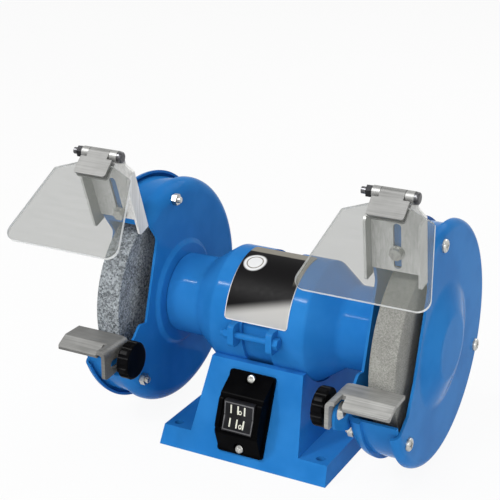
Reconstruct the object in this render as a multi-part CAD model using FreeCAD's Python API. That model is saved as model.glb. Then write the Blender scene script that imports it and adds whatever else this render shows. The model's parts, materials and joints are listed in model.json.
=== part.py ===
import FreeCAD, Part
import math
import os

# Bench grinder with two wheels, modelled in millimetres.
# X runs along the spindle, -Y is the operator's side and +Z is up.
# The origin is on the bench, under the middle of the base.

V = FreeCAD.Vector
ORIGIN = V(0, 0, 0)
X_AXIS = V(1, 0, 0)
Y_AXIS = V(0, 1, 0)
Z_AXIS = V(0, 0, 1)

# Fits between pieces
seat_gap = 0.05
run_gap = 0.08
clear_gap = 0.3
overshoot = 1.0

# Spindle line and grinding wheels
spindle_height = 100.0
wheel_diameter = 150.0
wheel_width = 20.0
wheel_spacing = 226.0
arbor_diameter = 12.7
wheel_edge_round = 0.8
blotter_thickness = 0.4
blotter_diameter = 56.0
flange_thickness = 3.5
flange_diameter = 50.0
flange_relief_depth = 1.2
flange_relief_diameter = 34.0
nut_height = 6.5
nut_across_flats = 19.0
spindle_end_length = 1.1

# Wheel guards
guard_sheet = 2.0
guard_inner_gap = 11.0
guard_outer_gap = 6.0
guard_wall_gap = 11.5
dish_rim_rise = 3.0
dish_rim_width = 12.0
dish_edge_round = 11.0
boss_height = 3.0
boss_radius = 40.0
boss_slope = 3.0
guard_bore_radius = 14.0
cover_rim_rise = 4.8
cover_edge_round = 7.0
cover_lip = 6.5
dome_height = 7.0
dome_flat_radius = 25.0
dome_foot_radius = 47.0
dome_round = 14.0
cover_bolt_rise = 7.0
cover_bolt_diameter = 5.0
cover_bolt_first_angle = 81.5
cover_bolt_count = 3
cover_nut_flats = 8.0
cover_nut_height = 4.0
cover_bolt_end = 2.5
guard_screw_circle = 25.0
guard_screw_diameter = 5.0
guard_screw_first_angle = 20.0

# Front opening of a guard: forward and height from the spindle line
opening_throat = (37.0, 56.0)
opening_throat_round = 6.0
opening_waist = (56.0, -8.0)
opening_waist_round = 10.0
opening_sill = (70.0, -27.0)
opening_sill_round = 3.0
opening_sill_far = (130.0, -50.0)
cover_sill = (66.0, -29.0)
cover_sill_far = (130.0, -68.0)
opening_top_far = 130.0

# Upright tab at the top of each opening, and the spark guard bolted to it
tab_bolt_rise = 8.6
tab_angle = {"left": 56.2, "right": 61.0}
tab_lean = {"left": 20.0, "right": 9.0}
tab_thickness = 2.5
tab_half_width = 17.0
tab_up = 29.0
tab_down = 12.0
tab_corner = 7.0
bracket_shift = {"left": 5.0, "right": -5.0}
bracket_sheet = 2.0
bracket_half_width = 21.0
bracket_up = 35.0
bracket_down = 10.0
bracket_flange_down = 15.5
bracket_flange_depth = 12.0
bracket_bend = 2.0
neck_half_width = 15.0
slot_up = 27.0
slot_down = 8.0
slot_width = 5.8
bracket_bolt_diameter = 5.0
bracket_bolt_flats = 8.0
bracket_bolt_head = 3.5
bracket_washer_radius = 5.5
bracket_washer_thickness = 1.0

# Hinged eye shield
hinge_up = 50.5
hinge_forward = 6.0
knuckle_radius = 4.6
knuckle_half_length = 15.0
clamp_knuckle_half = 8.7
hinge_bolt_diameter = 5.0
hinge_head_radius = 4.4
hinge_head_length = 3.2
hinge_nut_flats = 8.0
hinge_nut_length = 4.5
hinge_bolt_end = 4.0
shield_tilt = 47.0
shield_thickness = 2.5
shield_back_offset = 0.5
shield_top_start = 9.5
shield_top_width = 27.0
shield_shoulder_drop = 8.3
shield_shoulder_width = 66.0
shield_length = 71.5
shield_bottom_width = 98.4
shield_corner = 8.0
clamp_sheet = 1.5
clamp_half_width = 13.5
clamp_length = 20.0
clamp_start = 5.6
shield_side_shift = 1.5

# Tool rests
rest_drop = 6.5
rest_gap = 3.3
rest_sheet = 3.0
rest_depth = 18.0
rest_outer_overlap = 9.0
lip_length = 12.5
lip_angle = 28.0
leg_back = 0.5
leg_front = 33.0
leg_height = 23.0
leg_rear_height = 19.0
leg_strip = 7.0
lip_notch = 3.0
rest_bend = 5.0
rest_corner = 4.0
rest_slot_width = 6.8
rest_slot_length = 21.5
rest_slot_start = 3.5
rest_bolt_drop = 13.5
rest_bolt_setback = 17.0
rest_bolt_diameter = 6.0
rest_head_radius = 6.8
rest_head_height = 3.2
rest_washer_radius = 7.5
rest_washer_thickness = 1.2
left_rest_out = 8.0
ear_reach = 10.5
ear_above = 5.5
ear_below = 11.0
ear_root = 48.0
ear_root_above = 11.0
ear_root_below = 22.0
ear_hump = 30.0
ear_hump_rise = 14.5
ear_hump_round = 5.0
ear_neck = 21.0
ear_neck_round = 6.0
ear_tip_round = 7.0
ear_low_round = 9.0
ear_foot = 14.0
ear_foot_round = 8.0
knob_hub_radius = 9.0
knob_hub_length = 1.5
knob_radius = 14.5
knob_length = 9.0
knob_flutes = 12
knob_flute_radius = 2.6
knob_bolt_depth = 7.0

# Motor
drum_radius = 47.0
bell_wall = 3.0
seam_half = 11.5
bell_shoulder = 39.0
bell_shoulder_round = 5.0
neck_start = 60.0
neck_radius = 32.0
neck_round = 9.0
neck_wall = 4.0
hub_wall = 4.0
bearing_lip = 3.0
bearing_bore = 15.0
bearing_outside = 35.0
bearing_width = 11.0
bearing_inset = 1.0
bearing_ring = 2.9
bearing_seal = 0.8
ball_radius = 2.7
ball_groove = 3.0
ball_count = 8
wave_washer_height = 1.6
wave_washer_thickness = 0.5
wave_washer_width = 3.0
stator_half_length = 22.5
stator_bore_radius = 22.0
air_gap = 0.4
rotor_shaft_radius = 9.0
winding_radius_in = 25.0
winding_radius_out = 37.0
winding_length = 12.0
winding_round = 4.0
tie_angle = -3.0
tie_circle = 52.0
tie_bolt_diameter = 5.0
tie_lug_thickness = 5.0
tie_lug_half_height = 9.0
tie_lug_overhang = 5.0
tie_lug_inset = 2.0
tie_nut_flats = 8.0
tie_nut_height = 4.0
tie_bolt_end = 3.5
label_half_width = 26.3
label_thickness = 0.5
label_low_angle = 8.0
label_high_angle = 97.0
label_corner = 3.0
saddle_screw_x = 30.0
saddle_screw_diameter = 6.0
saddle_screw_head_radius = 5.0
saddle_screw_head = 4.0
saddle_boss_radius = 6.5
saddle_boss_depth = 7.0

# Base casting
base_width = 142.0
base_depth = 141.0
base_wall = 4.0
base_flange_height = 15.0
base_flange_draft = 1.5
pedestal_foot_width = 91.8
pedestal_top_width = 77.4
pedestal_top_depth = 86.8
saddle_drop = 28.0
mount_inset_x = 10.0
mount_inset_y = 13.5
mount_hole_diameter = 7.0
mount_boss_radius = 7.0
cover_plate_sheet = 2.0
cover_plate_recess = 1.0
cover_plate_gap = 1.0
cover_post_x = 30.0
cover_post_inset = 15.0
cover_post_radius = 5.0
cover_post_height = 36.0
cover_screw_diameter = 4.0
cover_screw_length = 10.0
cover_screw_head_radius = 3.6
cover_screw_head = 0.8

# Switch on the sloping front
switch_width = 38.5
switch_height = 63.0
switch_centre_height = 36.8
switch_side = -1.0
switch_plate = 2.5
switch_corner = 2.5
hood_height = 14.5
hood_half_width = 18.0
hood_low_foot = 30.0
hood_low = 16.0
hood_high = 14.0
hood_high_foot = 30.0
cheek_rise = 1.5
cheek_width = 3.5
rocker_width = 25.0
rocker_radius = 12.8
rocker_pivot_height = 11.0
rocker_offset = -1.8
rocker_face = 14.3
rocker_swing = 15.0
rocker_floor = 4.4
rocker_pin_radius = 1.5
rocker_pin_length = 2.2
switch_screw_offset = 26.7
switch_screw_diameter = 4.0
switch_screw_head_radius = 3.6
switch_screw_head = 2.2
switch_screw_length = 12.0
switch_pocket_radius = 4.2
switch_body_width = 28.0
switch_body_height = 36.0
switch_body_depth = 24.0
terminal_width = 6.3
terminal_thickness = 0.8
terminal_length = 8.0
terminal_pitch = 14.0

# Electrical pieces inside the base, and the cable inlet at the back
capacitor_radius = 15.0
capacitor_length = 55.0
capacitor_y = 28.0
strap_sheet = 1.2
strap_width = 12.0
strap_foot = 9.0
terminal_block_size = (46.0, 16.0, 14.0)
terminal_block_y = -6.0
terminal_ways = 4
terminal_hole_radius = 2.0
grommet_height = 24.0
grommet_bore = 7.5
grommet_neck = 12.0
grommet_flange = 18.0
grommet_flange_thickness = 3.0

# Places worked out from the sizes above
wheel_radius = wheel_diameter / 2
wheel_middle = wheel_spacing / 2
wheel_in = wheel_middle - wheel_width / 2
wheel_out = wheel_middle + wheel_width / 2
shoulder_x = wheel_in - blotter_thickness - flange_thickness
outer_flange_x = wheel_out + blotter_thickness
nut_x = outer_flange_x + flange_thickness
spindle_end = nut_x + nut_height + spindle_end_length
guard_in = wheel_in - guard_inner_gap
guard_face = guard_in - guard_sheet
boss_face = guard_face - boss_height
cover_in = wheel_out + guard_outer_gap
cover_out = cover_in + guard_sheet
wall_in_radius = wheel_radius + guard_wall_gap
wall_out_radius = wall_in_radius + guard_sheet
dish_rim_radius = wall_out_radius + dish_rim_rise
cover_rim_radius = wall_out_radius + cover_rim_rise
cover_bolt_circle = wheel_radius + cover_bolt_rise
guard_middle = (guard_in + cover_in) / 2
bell_end = boss_face
bearing_out_x = bell_end - bearing_inset
bearing_in_x = bearing_out_x - bearing_width
bearing_radius = bearing_outside / 2
journal_radius = bearing_bore / 2
ball_circle = (bearing_radius + journal_radius) / 2
stator_radius = drum_radius - bell_wall - seat_gap
rotor_radius = stator_bore_radius - air_gap
pedestal_top = spindle_height - saddle_drop
front_lean = (base_depth - pedestal_top_depth) / 2 / pedestal_top
front_lean_angle = math.degrees(math.atan(front_lean))
side_lean = (pedestal_foot_width - pedestal_top_width) / 2 / (pedestal_top - base_flange_height)
mount_x = base_width / 2 - mount_inset_x
mount_y = base_depth / 2 - mount_inset_y
rest_height = spindle_height - rest_drop
rest_back = math.sqrt(wheel_radius ** 2 - rest_drop ** 2) + rest_gap
rest_bolt_forward = rest_back + rest_bolt_setback
rest_bolt_height = rest_height - rest_bolt_drop
leg_out = guard_face - clear_gap
leg_in = leg_out - rest_sheet
rest_washer_out = leg_in - clear_gap
knob_face = rest_washer_out - rest_washer_thickness - clear_gap
rest_out = wheel_out + rest_outer_overlap
cover_plate_top = cover_plate_recess + cover_plate_sheet


def limited_radius(radius, room, angle):
    """Corner radius kept within the room along the edges beside the corner."""
    return min(radius, room * math.tan(angle / 2))


def edge_room(length, neighbour_radius):
    """Part of an edge that a corner may use: half of it where the other end is rounded too."""
    return length * (0.49 if neighbour_radius > 0 else 0.95)


def rounded_wire(points, place):
    """Closed wire through corners (a, b) or (a, b, radius), put into space by place(a, b)."""
    corners = [(p[0], p[1], p[2] if len(p) > 2 else 0.0) for p in points]
    count = len(corners)
    spans = []
    for i, (a, b, radius) in enumerate(corners):
        pa, pb, previous_radius = corners[i - 1]
        na, nb, next_radius = corners[(i + 1) % count]
        before = math.hypot(pa - a, pb - b)
        after = math.hypot(na - a, nb - b)
        ua, ub = (pa - a) / before, (pb - b) / before
        wa, wb = (na - a) / after, (nb - b) / after
        angle = math.acos(max(-1.0, min(1.0, ua * wa + ub * wb)))
        if radius <= 0 or math.pi - angle < 0.01:
            spans.append(((a, b), None, (a, b)))
            continue
        room = min(edge_room(before, previous_radius), edge_room(after, next_radius))
        radius = limited_radius(radius, room, angle)
        reach = radius / math.tan(angle / 2)
        ba, bb = ua + wa, ub + wb
        size = math.hypot(ba, bb)
        middle = radius / math.sin(angle / 2) - radius
        crown = (a + ba / size * middle, b + bb / size * middle)
        spans.append(((a + ua * reach, b + ub * reach), crown, (a + wa * reach, b + wb * reach)))
    edges = []
    for i, (start, crown, end) in enumerate(spans):
        if crown is not None:
            edges.append(Part.Arc(place(*start), place(*crown), place(*end)).toShape())
        following = spans[(i + 1) % count][0]
        if math.hypot(following[0] - end[0], following[1] - end[1]) > 1e-6:
            edges.append(Part.LineSegment(place(*end), place(*following)).toShape())
    return Part.Wire(edges)


def prism(points, place, sweep):
    """Solid made by sweeping a rounded outline along a vector."""
    return Part.Face(rounded_wire(points, place)).extrude(sweep)


def revolved(points):
    """Solid of revolution about the X axis from corners (x, radius)."""
    face = Part.Face(rounded_wire(points, lambda x, r: V(x, 0, r)))
    return face.revolve(ORIGIN, X_AXIS, 360)


def tube_x(x0, x1, radius, bore=0.0):
    """Round bar or tube along X between two places."""
    body = Part.makeCylinder(radius, x1 - x0, V(x0, 0, 0), X_AXIS)
    if bore > 0:
        body = body.cut(Part.makeCylinder(bore, x1 - x0, V(x0, 0, 0), X_AXIS))
    return body


def hexagon(flats):
    """Corner points of a hexagon with the given width across flats."""
    corner = flats / math.sqrt(3)
    turns = [math.radians(60 * i) for i in range(6)]
    return [(corner * math.cos(turn), corner * math.sin(turn)) for turn in turns]


def hex_x(x0, x1, flats, bore=0.0):
    """Hexagon bar or nut along X between two places."""
    body = prism(hexagon(flats), lambda a, b: V(x0, a, b), V(x1 - x0, 0, 0))
    if bore > 0:
        body = body.cut(Part.makeCylinder(bore, x1 - x0, V(x0, 0, 0), X_AXIS))
    return body


def flat(a, b):
    """Point of a local outline that lies in the XY plane."""
    return V(a, b, 0)


def moved(shape, x=0.0, y=0.0, z=0.0):
    """Copy of a shape, shifted."""
    copy = shape.copy()
    copy.translate(V(x, y, z))
    return copy


def on_spindle(shape):
    """Lift a shape that was made about the X axis to the spindle line."""
    return moved(shape, z=spindle_height)


def mirrored(shape):
    """The same shape on the left side."""
    return shape.mirror(ORIGIN, X_AXIS)


def framed(shape, origin, turn):
    """Copy of a local shape turned about X and set at a point."""
    copy = shape.copy()
    copy.Placement = FreeCAD.Placement(origin, FreeCAD.Rotation(X_AXIS, turn)).multiply(copy.Placement)
    return copy


def group(solids):
    """Separate solids kept together in one node."""
    return Part.makeCompound(solids)


def polar(radius, angle):
    """Forward distance and height of a point at an angle above the operator's side."""
    return radius * math.cos(math.radians(angle)), radius * math.sin(math.radians(angle))


def ring_of(shape, count, first):
    """Copies of a shape made on the spindle line, turned about it at even angles."""
    copies = []
    for i in range(count):
        copy = shape.copy()
        copy.rotate(ORIGIN, X_AXIS, first + 360.0 / count * i)
        copies.append(copy)
    return copies


def ahead(shape, radius):
    """A shape made on the X axis, moved out towards the operator."""
    return moved(shape, y=-radius)


# Base

def half_depth(z):
    """Half of the base's depth at a height, along the leaning front."""
    return base_depth / 2 - z * front_lean


def half_pedestal(z):
    """Half of the pedestal's width at a height."""
    return pedestal_foot_width / 2 - (z - base_flange_height) * side_lean


def frustum(low, high):
    """Solid between two rectangles, each given as half width, half depth and height."""
    wires = []
    for half_x, half_y, z in (low, high):
        corners = [(-half_x, -half_y), (half_x, -half_y), (half_x, half_y), (-half_x, half_y)]
        wires.append(rounded_wire(corners, lambda a, b, z=z: V(a, b, z)))
    return Part.makeLoft(wires, True, True)


def base_outside():
    """Flange plate and pedestal, with one leaning face at the front and the back."""
    top = base_flange_height
    flange = frustum(
        (base_width / 2, half_depth(0), 0),
        (base_width / 2 - base_flange_draft, half_depth(top), top))
    pedestal = frustum(
        (half_pedestal(0), half_depth(0), 0),
        (half_pedestal(pedestal_top), half_depth(pedestal_top), pedestal_top))
    return flange.fuse(pedestal).removeSplitter()


def inner_depth(z):
    """Half of the hollow's depth at a height, behind the leaning wall."""
    return half_depth(z) - base_wall / math.cos(math.radians(front_lean_angle))


def base_hollow():
    """Space under the flange and inside the pedestal, below the saddle's own wall."""
    roof = base_flange_height - base_wall
    low = -overshoot
    flange = frustum(
        (base_width / 2 - base_wall, inner_depth(low), low),
        (base_width / 2 - base_flange_draft - base_wall, inner_depth(roof), roof))
    pedestal = frustum(
        (half_pedestal(low) - base_wall, inner_depth(low), low),
        (half_pedestal(pedestal_top) - base_wall, inner_depth(pedestal_top), pedestal_top))
    saddle = on_spindle(tube_x(-base_width, base_width, drum_radius + seat_gap + base_wall))
    return flange.fuse(pedestal).cut(saddle)


def corner_places(x, y):
    """The four corners of a rectangle about the origin."""
    return [(sx * x, sy * y) for sx in (-1, 1) for sy in (-1, 1)]


def cover_post_places():
    """Where the bottom cover is screwed to the base."""
    return corner_places(cover_post_x, base_depth / 2 - cover_post_inset)


def base_posts():
    """Bosses inside the base for the bench bolts and for the bottom cover's screws."""
    posts = []
    for x, y in corner_places(mount_x, mount_y):
        posts.append(Part.makeCylinder(mount_boss_radius, base_flange_height, V(x, y, 0)))
    for x, y in cover_post_places():
        posts.append(Part.makeCylinder(cover_post_radius, cover_post_height, V(x, y, cover_plate_top)))
    return posts


def on_front(shape, v=0.0):
    """Set a local shape on the leaning front, at the middle of the switch."""
    z = switch_centre_height
    return framed(moved(shape, y=v), V(switch_side, -half_depth(z), z), 90 - front_lean_angle)


def on_back(shape):
    """Set a local shape on the leaning back, at the cable inlet."""
    z = grommet_height
    turned = framed(shape, V(0, -half_depth(z), z), 90 - front_lean_angle)
    turned.rotate(ORIGIN, Z_AXIS, 180)
    return turned


def base_cuts():
    """Holes through the base casting."""
    cuts = [on_spindle(tube_x(-base_width, base_width, drum_radius + seat_gap))]
    tall = base_flange_height + 2 * overshoot
    for x, y in corner_places(mount_x, mount_y):
        cuts.append(Part.makeCylinder(mount_hole_diameter / 2, tall, V(x, y, -overshoot)))
    depth = cover_screw_length + overshoot
    for x, y in cover_post_places():
        cuts.append(
            Part.makeCylinder(cover_screw_diameter / 2 + seat_gap, depth, V(x, y, cover_plate_recess)))
    for x in (-saddle_screw_x, saddle_screw_x):
        low = spindle_height - drum_radius - 2 * base_wall
        cuts.append(Part.makeCylinder(saddle_screw_diameter / 2 + clear_gap, 3 * base_wall, V(x, 0, low)))
    through = 3 * base_wall
    half_w = switch_body_width / 2 + clear_gap
    half_h = switch_body_height / 2 + clear_gap
    window = Part.makeBox(2 * half_w, 2 * half_h, through, V(-half_w, -half_h, -2 * base_wall))
    cuts.append(on_front(window, rocker_offset))
    for v in (-switch_screw_offset, switch_screw_offset):
        deep = switch_screw_length + clear_gap
        hole = Part.makeCylinder(switch_screw_diameter / 2 + seat_gap, deep + base_wall, V(0, 0, -deep))
        cuts.append(on_front(hole, v))
    inlet = Part.makeCylinder(grommet_neck / 2 + seat_gap, through, V(0, 0, -2 * base_wall))
    cuts.append(on_back(inlet))
    return cuts


def base_pedestal():
    """Hollow cast base with a saddle for the motor on top."""
    outside = base_outside()
    body = outside.cut(base_hollow())
    for post in base_posts():
        body = body.fuse(post.common(outside))
    for tool in base_cuts():
        body = body.cut(tool)
    return body.removeSplitter()


def base_bottom_cover():
    """Sheet cover that closes the base from below."""
    half_x = half_pedestal(cover_plate_top) - base_wall - cover_plate_gap
    half_y = inner_depth(cover_plate_top) - cover_plate_gap
    corners = [(-half_x, -half_y, 4), (half_x, -half_y, 4), (half_x, half_y, 4), (-half_x, half_y, 4)]
    plate = prism(corners, lambda a, b: V(a, b, cover_plate_recess), V(0, 0, cover_plate_sheet))
    for x, y in cover_post_places():
        hole = Part.makeCylinder(
            cover_screw_diameter / 2 + clear_gap, cover_plate_sheet, V(x, y, cover_plate_recess))
        plate = plate.cut(hole)
    return plate


def base_cover_screws():
    """Four screws that hold the bottom cover."""
    screws = []
    for x, y in cover_post_places():
        head = Part.makeCylinder(
            cover_screw_head_radius, cover_screw_head, V(x, y, cover_plate_recess - cover_screw_head))
        shank = Part.makeCylinder(cover_screw_diameter / 2, cover_screw_length, V(x, y, cover_plate_recess))
        screws.append(head.fuse(shank))
    return group(screws)


# Motor

def tie_places():
    """Forward distance and height of the tie bolts, in front of and behind the drum."""
    forward, height = polar(tie_circle, tie_angle)
    return [(forward, height), (-forward, height)]


def tie_lugs():
    """Two lugs on a bell's edge that the tie bolts pass through."""
    x0 = seam_half + tie_lug_inset
    root = drum_radius - bell_wall
    lugs = []
    for forward, height in tie_places():
        side = 1 if forward > 0 else -1
        tip = abs(forward) + tie_lug_overhang
        low, high = height - tie_lug_half_height, height + tie_lug_half_height
        outline = [(root * side, low), (tip * side, low, 4), (tip * side, high, 4), (root * side, high)]
        lugs.append(prism(outline, lambda f, h: V(x0, -f, h), V(tie_lug_thickness, 0, 0)))
    return lugs


def bell_profile():
    """Half section of an end bell: drum, cone, neck and bearing seat."""
    seat = bearing_radius + seat_gap
    lip = bearing_radius - bearing_lip
    lip_x = bearing_in_x - wave_washer_height
    hub_x = lip_x - bearing_lip
    hub = bearing_radius + hub_wall
    end = bell_end - neck_wall
    bore = drum_radius - bell_wall
    return [
        (seam_half, drum_radius), (bell_shoulder, drum_radius, bell_shoulder_round),
        (neck_start, neck_radius, neck_round), (bell_end, neck_radius, 1.5), (bell_end, seat),
        (lip_x, seat), (lip_x, lip), (hub_x, lip), (hub_x, hub), (end, hub, 2.0),
        (end, neck_radius - neck_wall, 2.0), (neck_start, neck_radius - neck_wall, neck_round),
        (bell_shoulder - bell_wall, bore, bell_shoulder_round), (seam_half, bore)]


def guard_screw_holes(x0, x1, radius):
    """Holes on the guard's screw circle, about the X axis."""
    drill = ahead(tube_x(x0, x1, radius), guard_screw_circle)
    return ring_of(drill, cover_bolt_count, guard_screw_first_angle)


def end_bell():
    """Right end bell about the X axis, with lugs, a foot boss and screw holes."""
    body = revolved(bell_profile())
    for lug in tie_lugs():
        body = body.fuse(lug)
    core = tube_x(0, bell_shoulder - bell_wall, drum_radius - bell_wall)
    boss = Part.makeCylinder(saddle_boss_radius, saddle_boss_depth, V(saddle_screw_x, 0, -drum_radius + 1))
    body = body.cut(core).fuse(boss)
    screw = saddle_screw_diameter / 2 + seat_gap
    body = body.cut(Part.makeCylinder(screw, 2 * saddle_boss_depth, V(saddle_screw_x, 0, -drum_radius - 2)))
    for forward, height in tie_places():
        x0 = seam_half
        hole = tube_x(x0, x0 + 3 * tie_lug_thickness, tie_bolt_diameter / 2 + seat_gap)
        body = body.cut(moved(hole, y=-forward, z=height))
    start, end = bell_end - neck_wall - overshoot, bell_end + overshoot
    for hole in guard_screw_holes(start, end, guard_screw_diameter / 2 + seat_gap):
        body = body.cut(hole)
    return body.removeSplitter()


def stator_core():
    """Laminated stator, seen as a band between the bells."""
    return tube_x(-stator_half_length, stator_half_length, stator_radius, stator_bore_radius)


def stator_windings():
    """End turns of the winding at both ends of the stator."""
    x0 = stator_half_length
    x1 = x0 + winding_length
    coil = revolved([
        (x0, winding_radius_in), (x1, winding_radius_in, winding_round),
        (x1, winding_radius_out, winding_round), (x0, winding_radius_out)])
    return group([coil, mirrored(coil)])


def tie_bolts():
    """Long bolts that draw the two bells together."""
    lug_out = seam_half + tie_lug_inset + tie_lug_thickness
    bolts = []
    for forward, height in tie_places():
        head = hex_x(lug_out, lug_out + tie_nut_height, tie_nut_flats)
        shank = tube_x(-lug_out - tie_nut_height - tie_bolt_end, lug_out, tie_bolt_diameter / 2)
        bolts.append(moved(head.fuse(shank), y=-forward, z=height))
    return group(bolts)


def tie_nuts():
    """Nuts on the left ends of the tie bolts."""
    lug_out = seam_half + tie_lug_inset + tie_lug_thickness
    nut = hex_x(-lug_out - tie_nut_height, -lug_out, tie_nut_flats, tie_bolt_diameter / 2 + seat_gap)
    return group([moved(nut, y=-forward, z=height) for forward, height in tie_places()])


def motor_label():
    """Curved plate on the drum with rounded corners, left blank."""
    inner = drum_radius + seat_gap
    outer = inner + label_thickness
    band = tube_x(-label_half_width, label_half_width, outer, inner)
    reach = 2 * outer
    low_f, low_h = polar(reach, label_low_angle)
    high_f, high_h = polar(reach, label_high_angle)
    wedge = prism(
        [(0, 0), (low_f, low_h), (low_f, reach), (high_f, high_h)],
        lambda f, h: V(-label_half_width, -f, h), V(2 * label_half_width, 0, 0))
    label = band.common(wedge)
    corner_edges = [e for e in label.Edges if e.Length < 2 * label_thickness]
    return label.makeFillet(label_corner, corner_edges)


def saddle_screws():
    """Screws from inside the pedestal up into the bells."""
    seat = -drum_radius - seat_gap - base_wall
    top = -drum_radius + saddle_boss_depth - 1
    screws = []
    for x in (-saddle_screw_x, saddle_screw_x):
        head = Part.makeCylinder(
            saddle_screw_head_radius, saddle_screw_head, V(x, 0, seat - saddle_screw_head))
        shank = Part.makeCylinder(saddle_screw_diameter / 2, top - seat, V(x, 0, seat))
        screws.append(head.fuse(shank))
    return group(screws)


def bearing_outer_ring():
    """Outer ring of a sealed ball bearing with its two seals, on the right side."""
    race = bearing_radius - bearing_ring
    seal = journal_radius + bearing_ring + clear_gap
    x0, x1 = bearing_in_x, bearing_out_x
    ring = tube_x(x0, x1, bearing_radius, race)
    for x in (x0, x1 - bearing_seal):
        ring = ring.fuse(tube_x(x, x + bearing_seal, race, seal))
    groove = Part.makeTorus(ball_circle, ball_groove, V((x0 + x1) / 2, 0, 0), X_AXIS)
    return ring.cut(groove).removeSplitter()


def bearing_inner_ring():
    """Inner ring of a bearing, on the right side."""
    x0, x1 = bearing_in_x, bearing_out_x
    ring = tube_x(x0, x1, journal_radius + bearing_ring, journal_radius + seat_gap)
    groove = Part.makeTorus(ball_circle, ball_groove, V((x0 + x1) / 2, 0, 0), X_AXIS)
    return ring.cut(groove)


def bearing_balls():
    """Balls of both bearings."""
    x = (bearing_in_x + bearing_out_x) / 2
    ball = Part.makeSphere(ball_radius, V(x, -ball_circle, 0))
    balls = ring_of(ball, ball_count, 0)
    return group(balls + [mirrored(b) for b in balls])


def wave_washer():
    """Springy washer that loads the left bearing's outer ring."""
    outer = bearing_radius - seat_gap
    inner = outer - wave_washer_width
    x = bearing_in_x - wave_washer_height / 2
    half = wave_washer_thickness / 2
    sway = wave_washer_height / 2 - half - seat_gap
    washer = revolved([
        (x - half - sway, inner), (x + half - sway, inner),
        (x + half + sway, outer), (x - half + sway, outer)])
    return mirrored(washer)


# Rotor

def spindle():
    """Stepped spindle with an arbor at each end."""
    shoulder = journal_radius
    half = [
        (0, 0), (0, rotor_shaft_radius), (bearing_in_x, rotor_shaft_radius), (bearing_in_x, shoulder),
        (shoulder_x, shoulder), (shoulder_x, arbor_diameter / 2),
        (spindle_end, arbor_diameter / 2, 1.0), (spindle_end, 0)]
    right = revolved(half)
    return right.fuse(mirrored(right)).removeSplitter()


def rotor_core():
    """Squirrel-cage rotor pressed on the spindle."""
    return tube_x(-stator_half_length, stator_half_length, rotor_radius, rotor_shaft_radius + seat_gap)


def grinding_wheel():
    """Right grinding wheel."""
    edge = wheel_edge_round
    bore = arbor_diameter / 2 + seat_gap
    return revolved([
        (wheel_in, bore), (wheel_out, bore),
        (wheel_out, wheel_radius, edge), (wheel_in, wheel_radius, edge)])


def wheel_flanges():
    """Clamping flanges on both sides of each wheel, relieved in the middle."""
    bore = arbor_diameter / 2 + seat_gap
    rim, relief = flange_diameter / 2, flange_relief_diameter / 2
    x0, x1 = shoulder_x, shoulder_x + flange_thickness
    step = flange_relief_depth
    inner = revolved([
        (x0, bore), (x1 - step, bore), (x1 - step, relief), (x1, relief), (x1, rim), (x0, rim, 1.5)])
    x0, x1 = outer_flange_x, nut_x
    outer = revolved([
        (x0 + step, bore), (x1, bore), (x1, rim, 1.5), (x0, rim), (x0, relief), (x0 + step, relief)])
    return group([inner, outer, mirrored(inner), mirrored(outer)])


def wheel_blotters():
    """Paper discs between the wheels and their flanges."""
    bore = arbor_diameter / 2 + seat_gap
    inner = tube_x(wheel_in - blotter_thickness, wheel_in, blotter_diameter / 2, bore)
    outer = tube_x(wheel_out, outer_flange_x, blotter_diameter / 2, bore)
    return group([inner, outer, mirrored(inner), mirrored(outer)])


def spindle_nuts():
    """Nuts that clamp the wheels."""
    nut = hex_x(nut_x, nut_x + nut_height, nut_across_flats, arbor_diameter / 2 + seat_gap)
    return group([nut, mirrored(nut)])


# Guards

def tab_point(side):
    """Forward distance and height of the spark guard's bolt from the spindle line."""
    return polar(wall_out_radius + tab_bolt_rise, tab_angle[side])


def along_tab(side, up):
    """Point on the tab's front face at a distance above its bolt."""
    forward, height = tab_point(side)
    lean = math.radians(tab_lean[side])
    return forward + up * math.sin(lean), height + up * math.cos(lean)


def on_tab(shape, side, up=0.0):
    """Set a local shape on the tab's front face, with its own Z pointing forward."""
    forward, height = along_tab(side, up)
    return framed(shape, V(0, -forward, height), 90 + tab_lean[side])


def opening_cut(side, sill, sill_far):
    """Space in front of the guard's opening, as deep as the guard."""
    top = along_tab(side, opening_top_far)
    outline = [
        top, along_tab(side, -tab_down / 2), opening_throat + (opening_throat_round,),
        opening_waist + (opening_waist_round,), sill + (opening_sill_round,), sill_far,
        (sill_far[0], top[1])]
    return prism(outline, lambda f, h: V(boss_face, -f, h), V(spindle_end - boss_face + dome_height, 0, 0))


def rest_ear():
    """Plate in front of the guard that carries the tool rest's bolt."""
    bolt = rest_bolt_forward
    middle = rest_bolt_height - spindle_height
    tip = bolt + ear_reach
    low, high = middle - ear_below, middle + ear_above
    outline = [
        (ear_root, middle - ear_root_below), (ear_root, middle + ear_root_above),
        (bolt - ear_hump, middle + ear_hump_rise, ear_hump_round), (bolt - ear_neck, high, ear_neck_round),
        (tip, high, ear_tip_round), (tip, low, ear_low_round),
        (bolt - ear_foot, middle - ear_root_below, ear_foot_round)]
    ear = prism(outline, lambda f, h: V(guard_face, -f, h), V(guard_sheet, 0, 0))
    hole = tube_x(guard_face, guard_in, rest_bolt_diameter / 2 + seat_gap)
    return ear, moved(hole, y=-rest_bolt_forward, z=middle)


def guard_tab(side):
    """Upright tab at the top of the opening, made in its own frame."""
    w = tab_half_width
    outline = [(-w, -tab_down), (w, -tab_down), (w, tab_up, tab_corner), (-w, tab_up, tab_corner)]
    tab = prism(outline, flat, V(0, 0, -tab_thickness))
    hole = Part.makeCylinder(bracket_bolt_diameter / 2 + seat_gap, tab_thickness, V(0, 0, -tab_thickness))
    return moved(on_tab(tab.cut(hole), side), x=guard_middle)


def wall_end(radius):
    """Where the drum wall stops, just short of the cover's rounded inside."""
    bend = cover_edge_round - guard_sheet
    beyond = radius - (cover_rim_radius - guard_sheet - bend)
    if beyond <= 0:
        return cover_in
    return cover_in - bend + math.sqrt(max(bend ** 2 - beyond ** 2, 0.0)) - seat_gap


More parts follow.
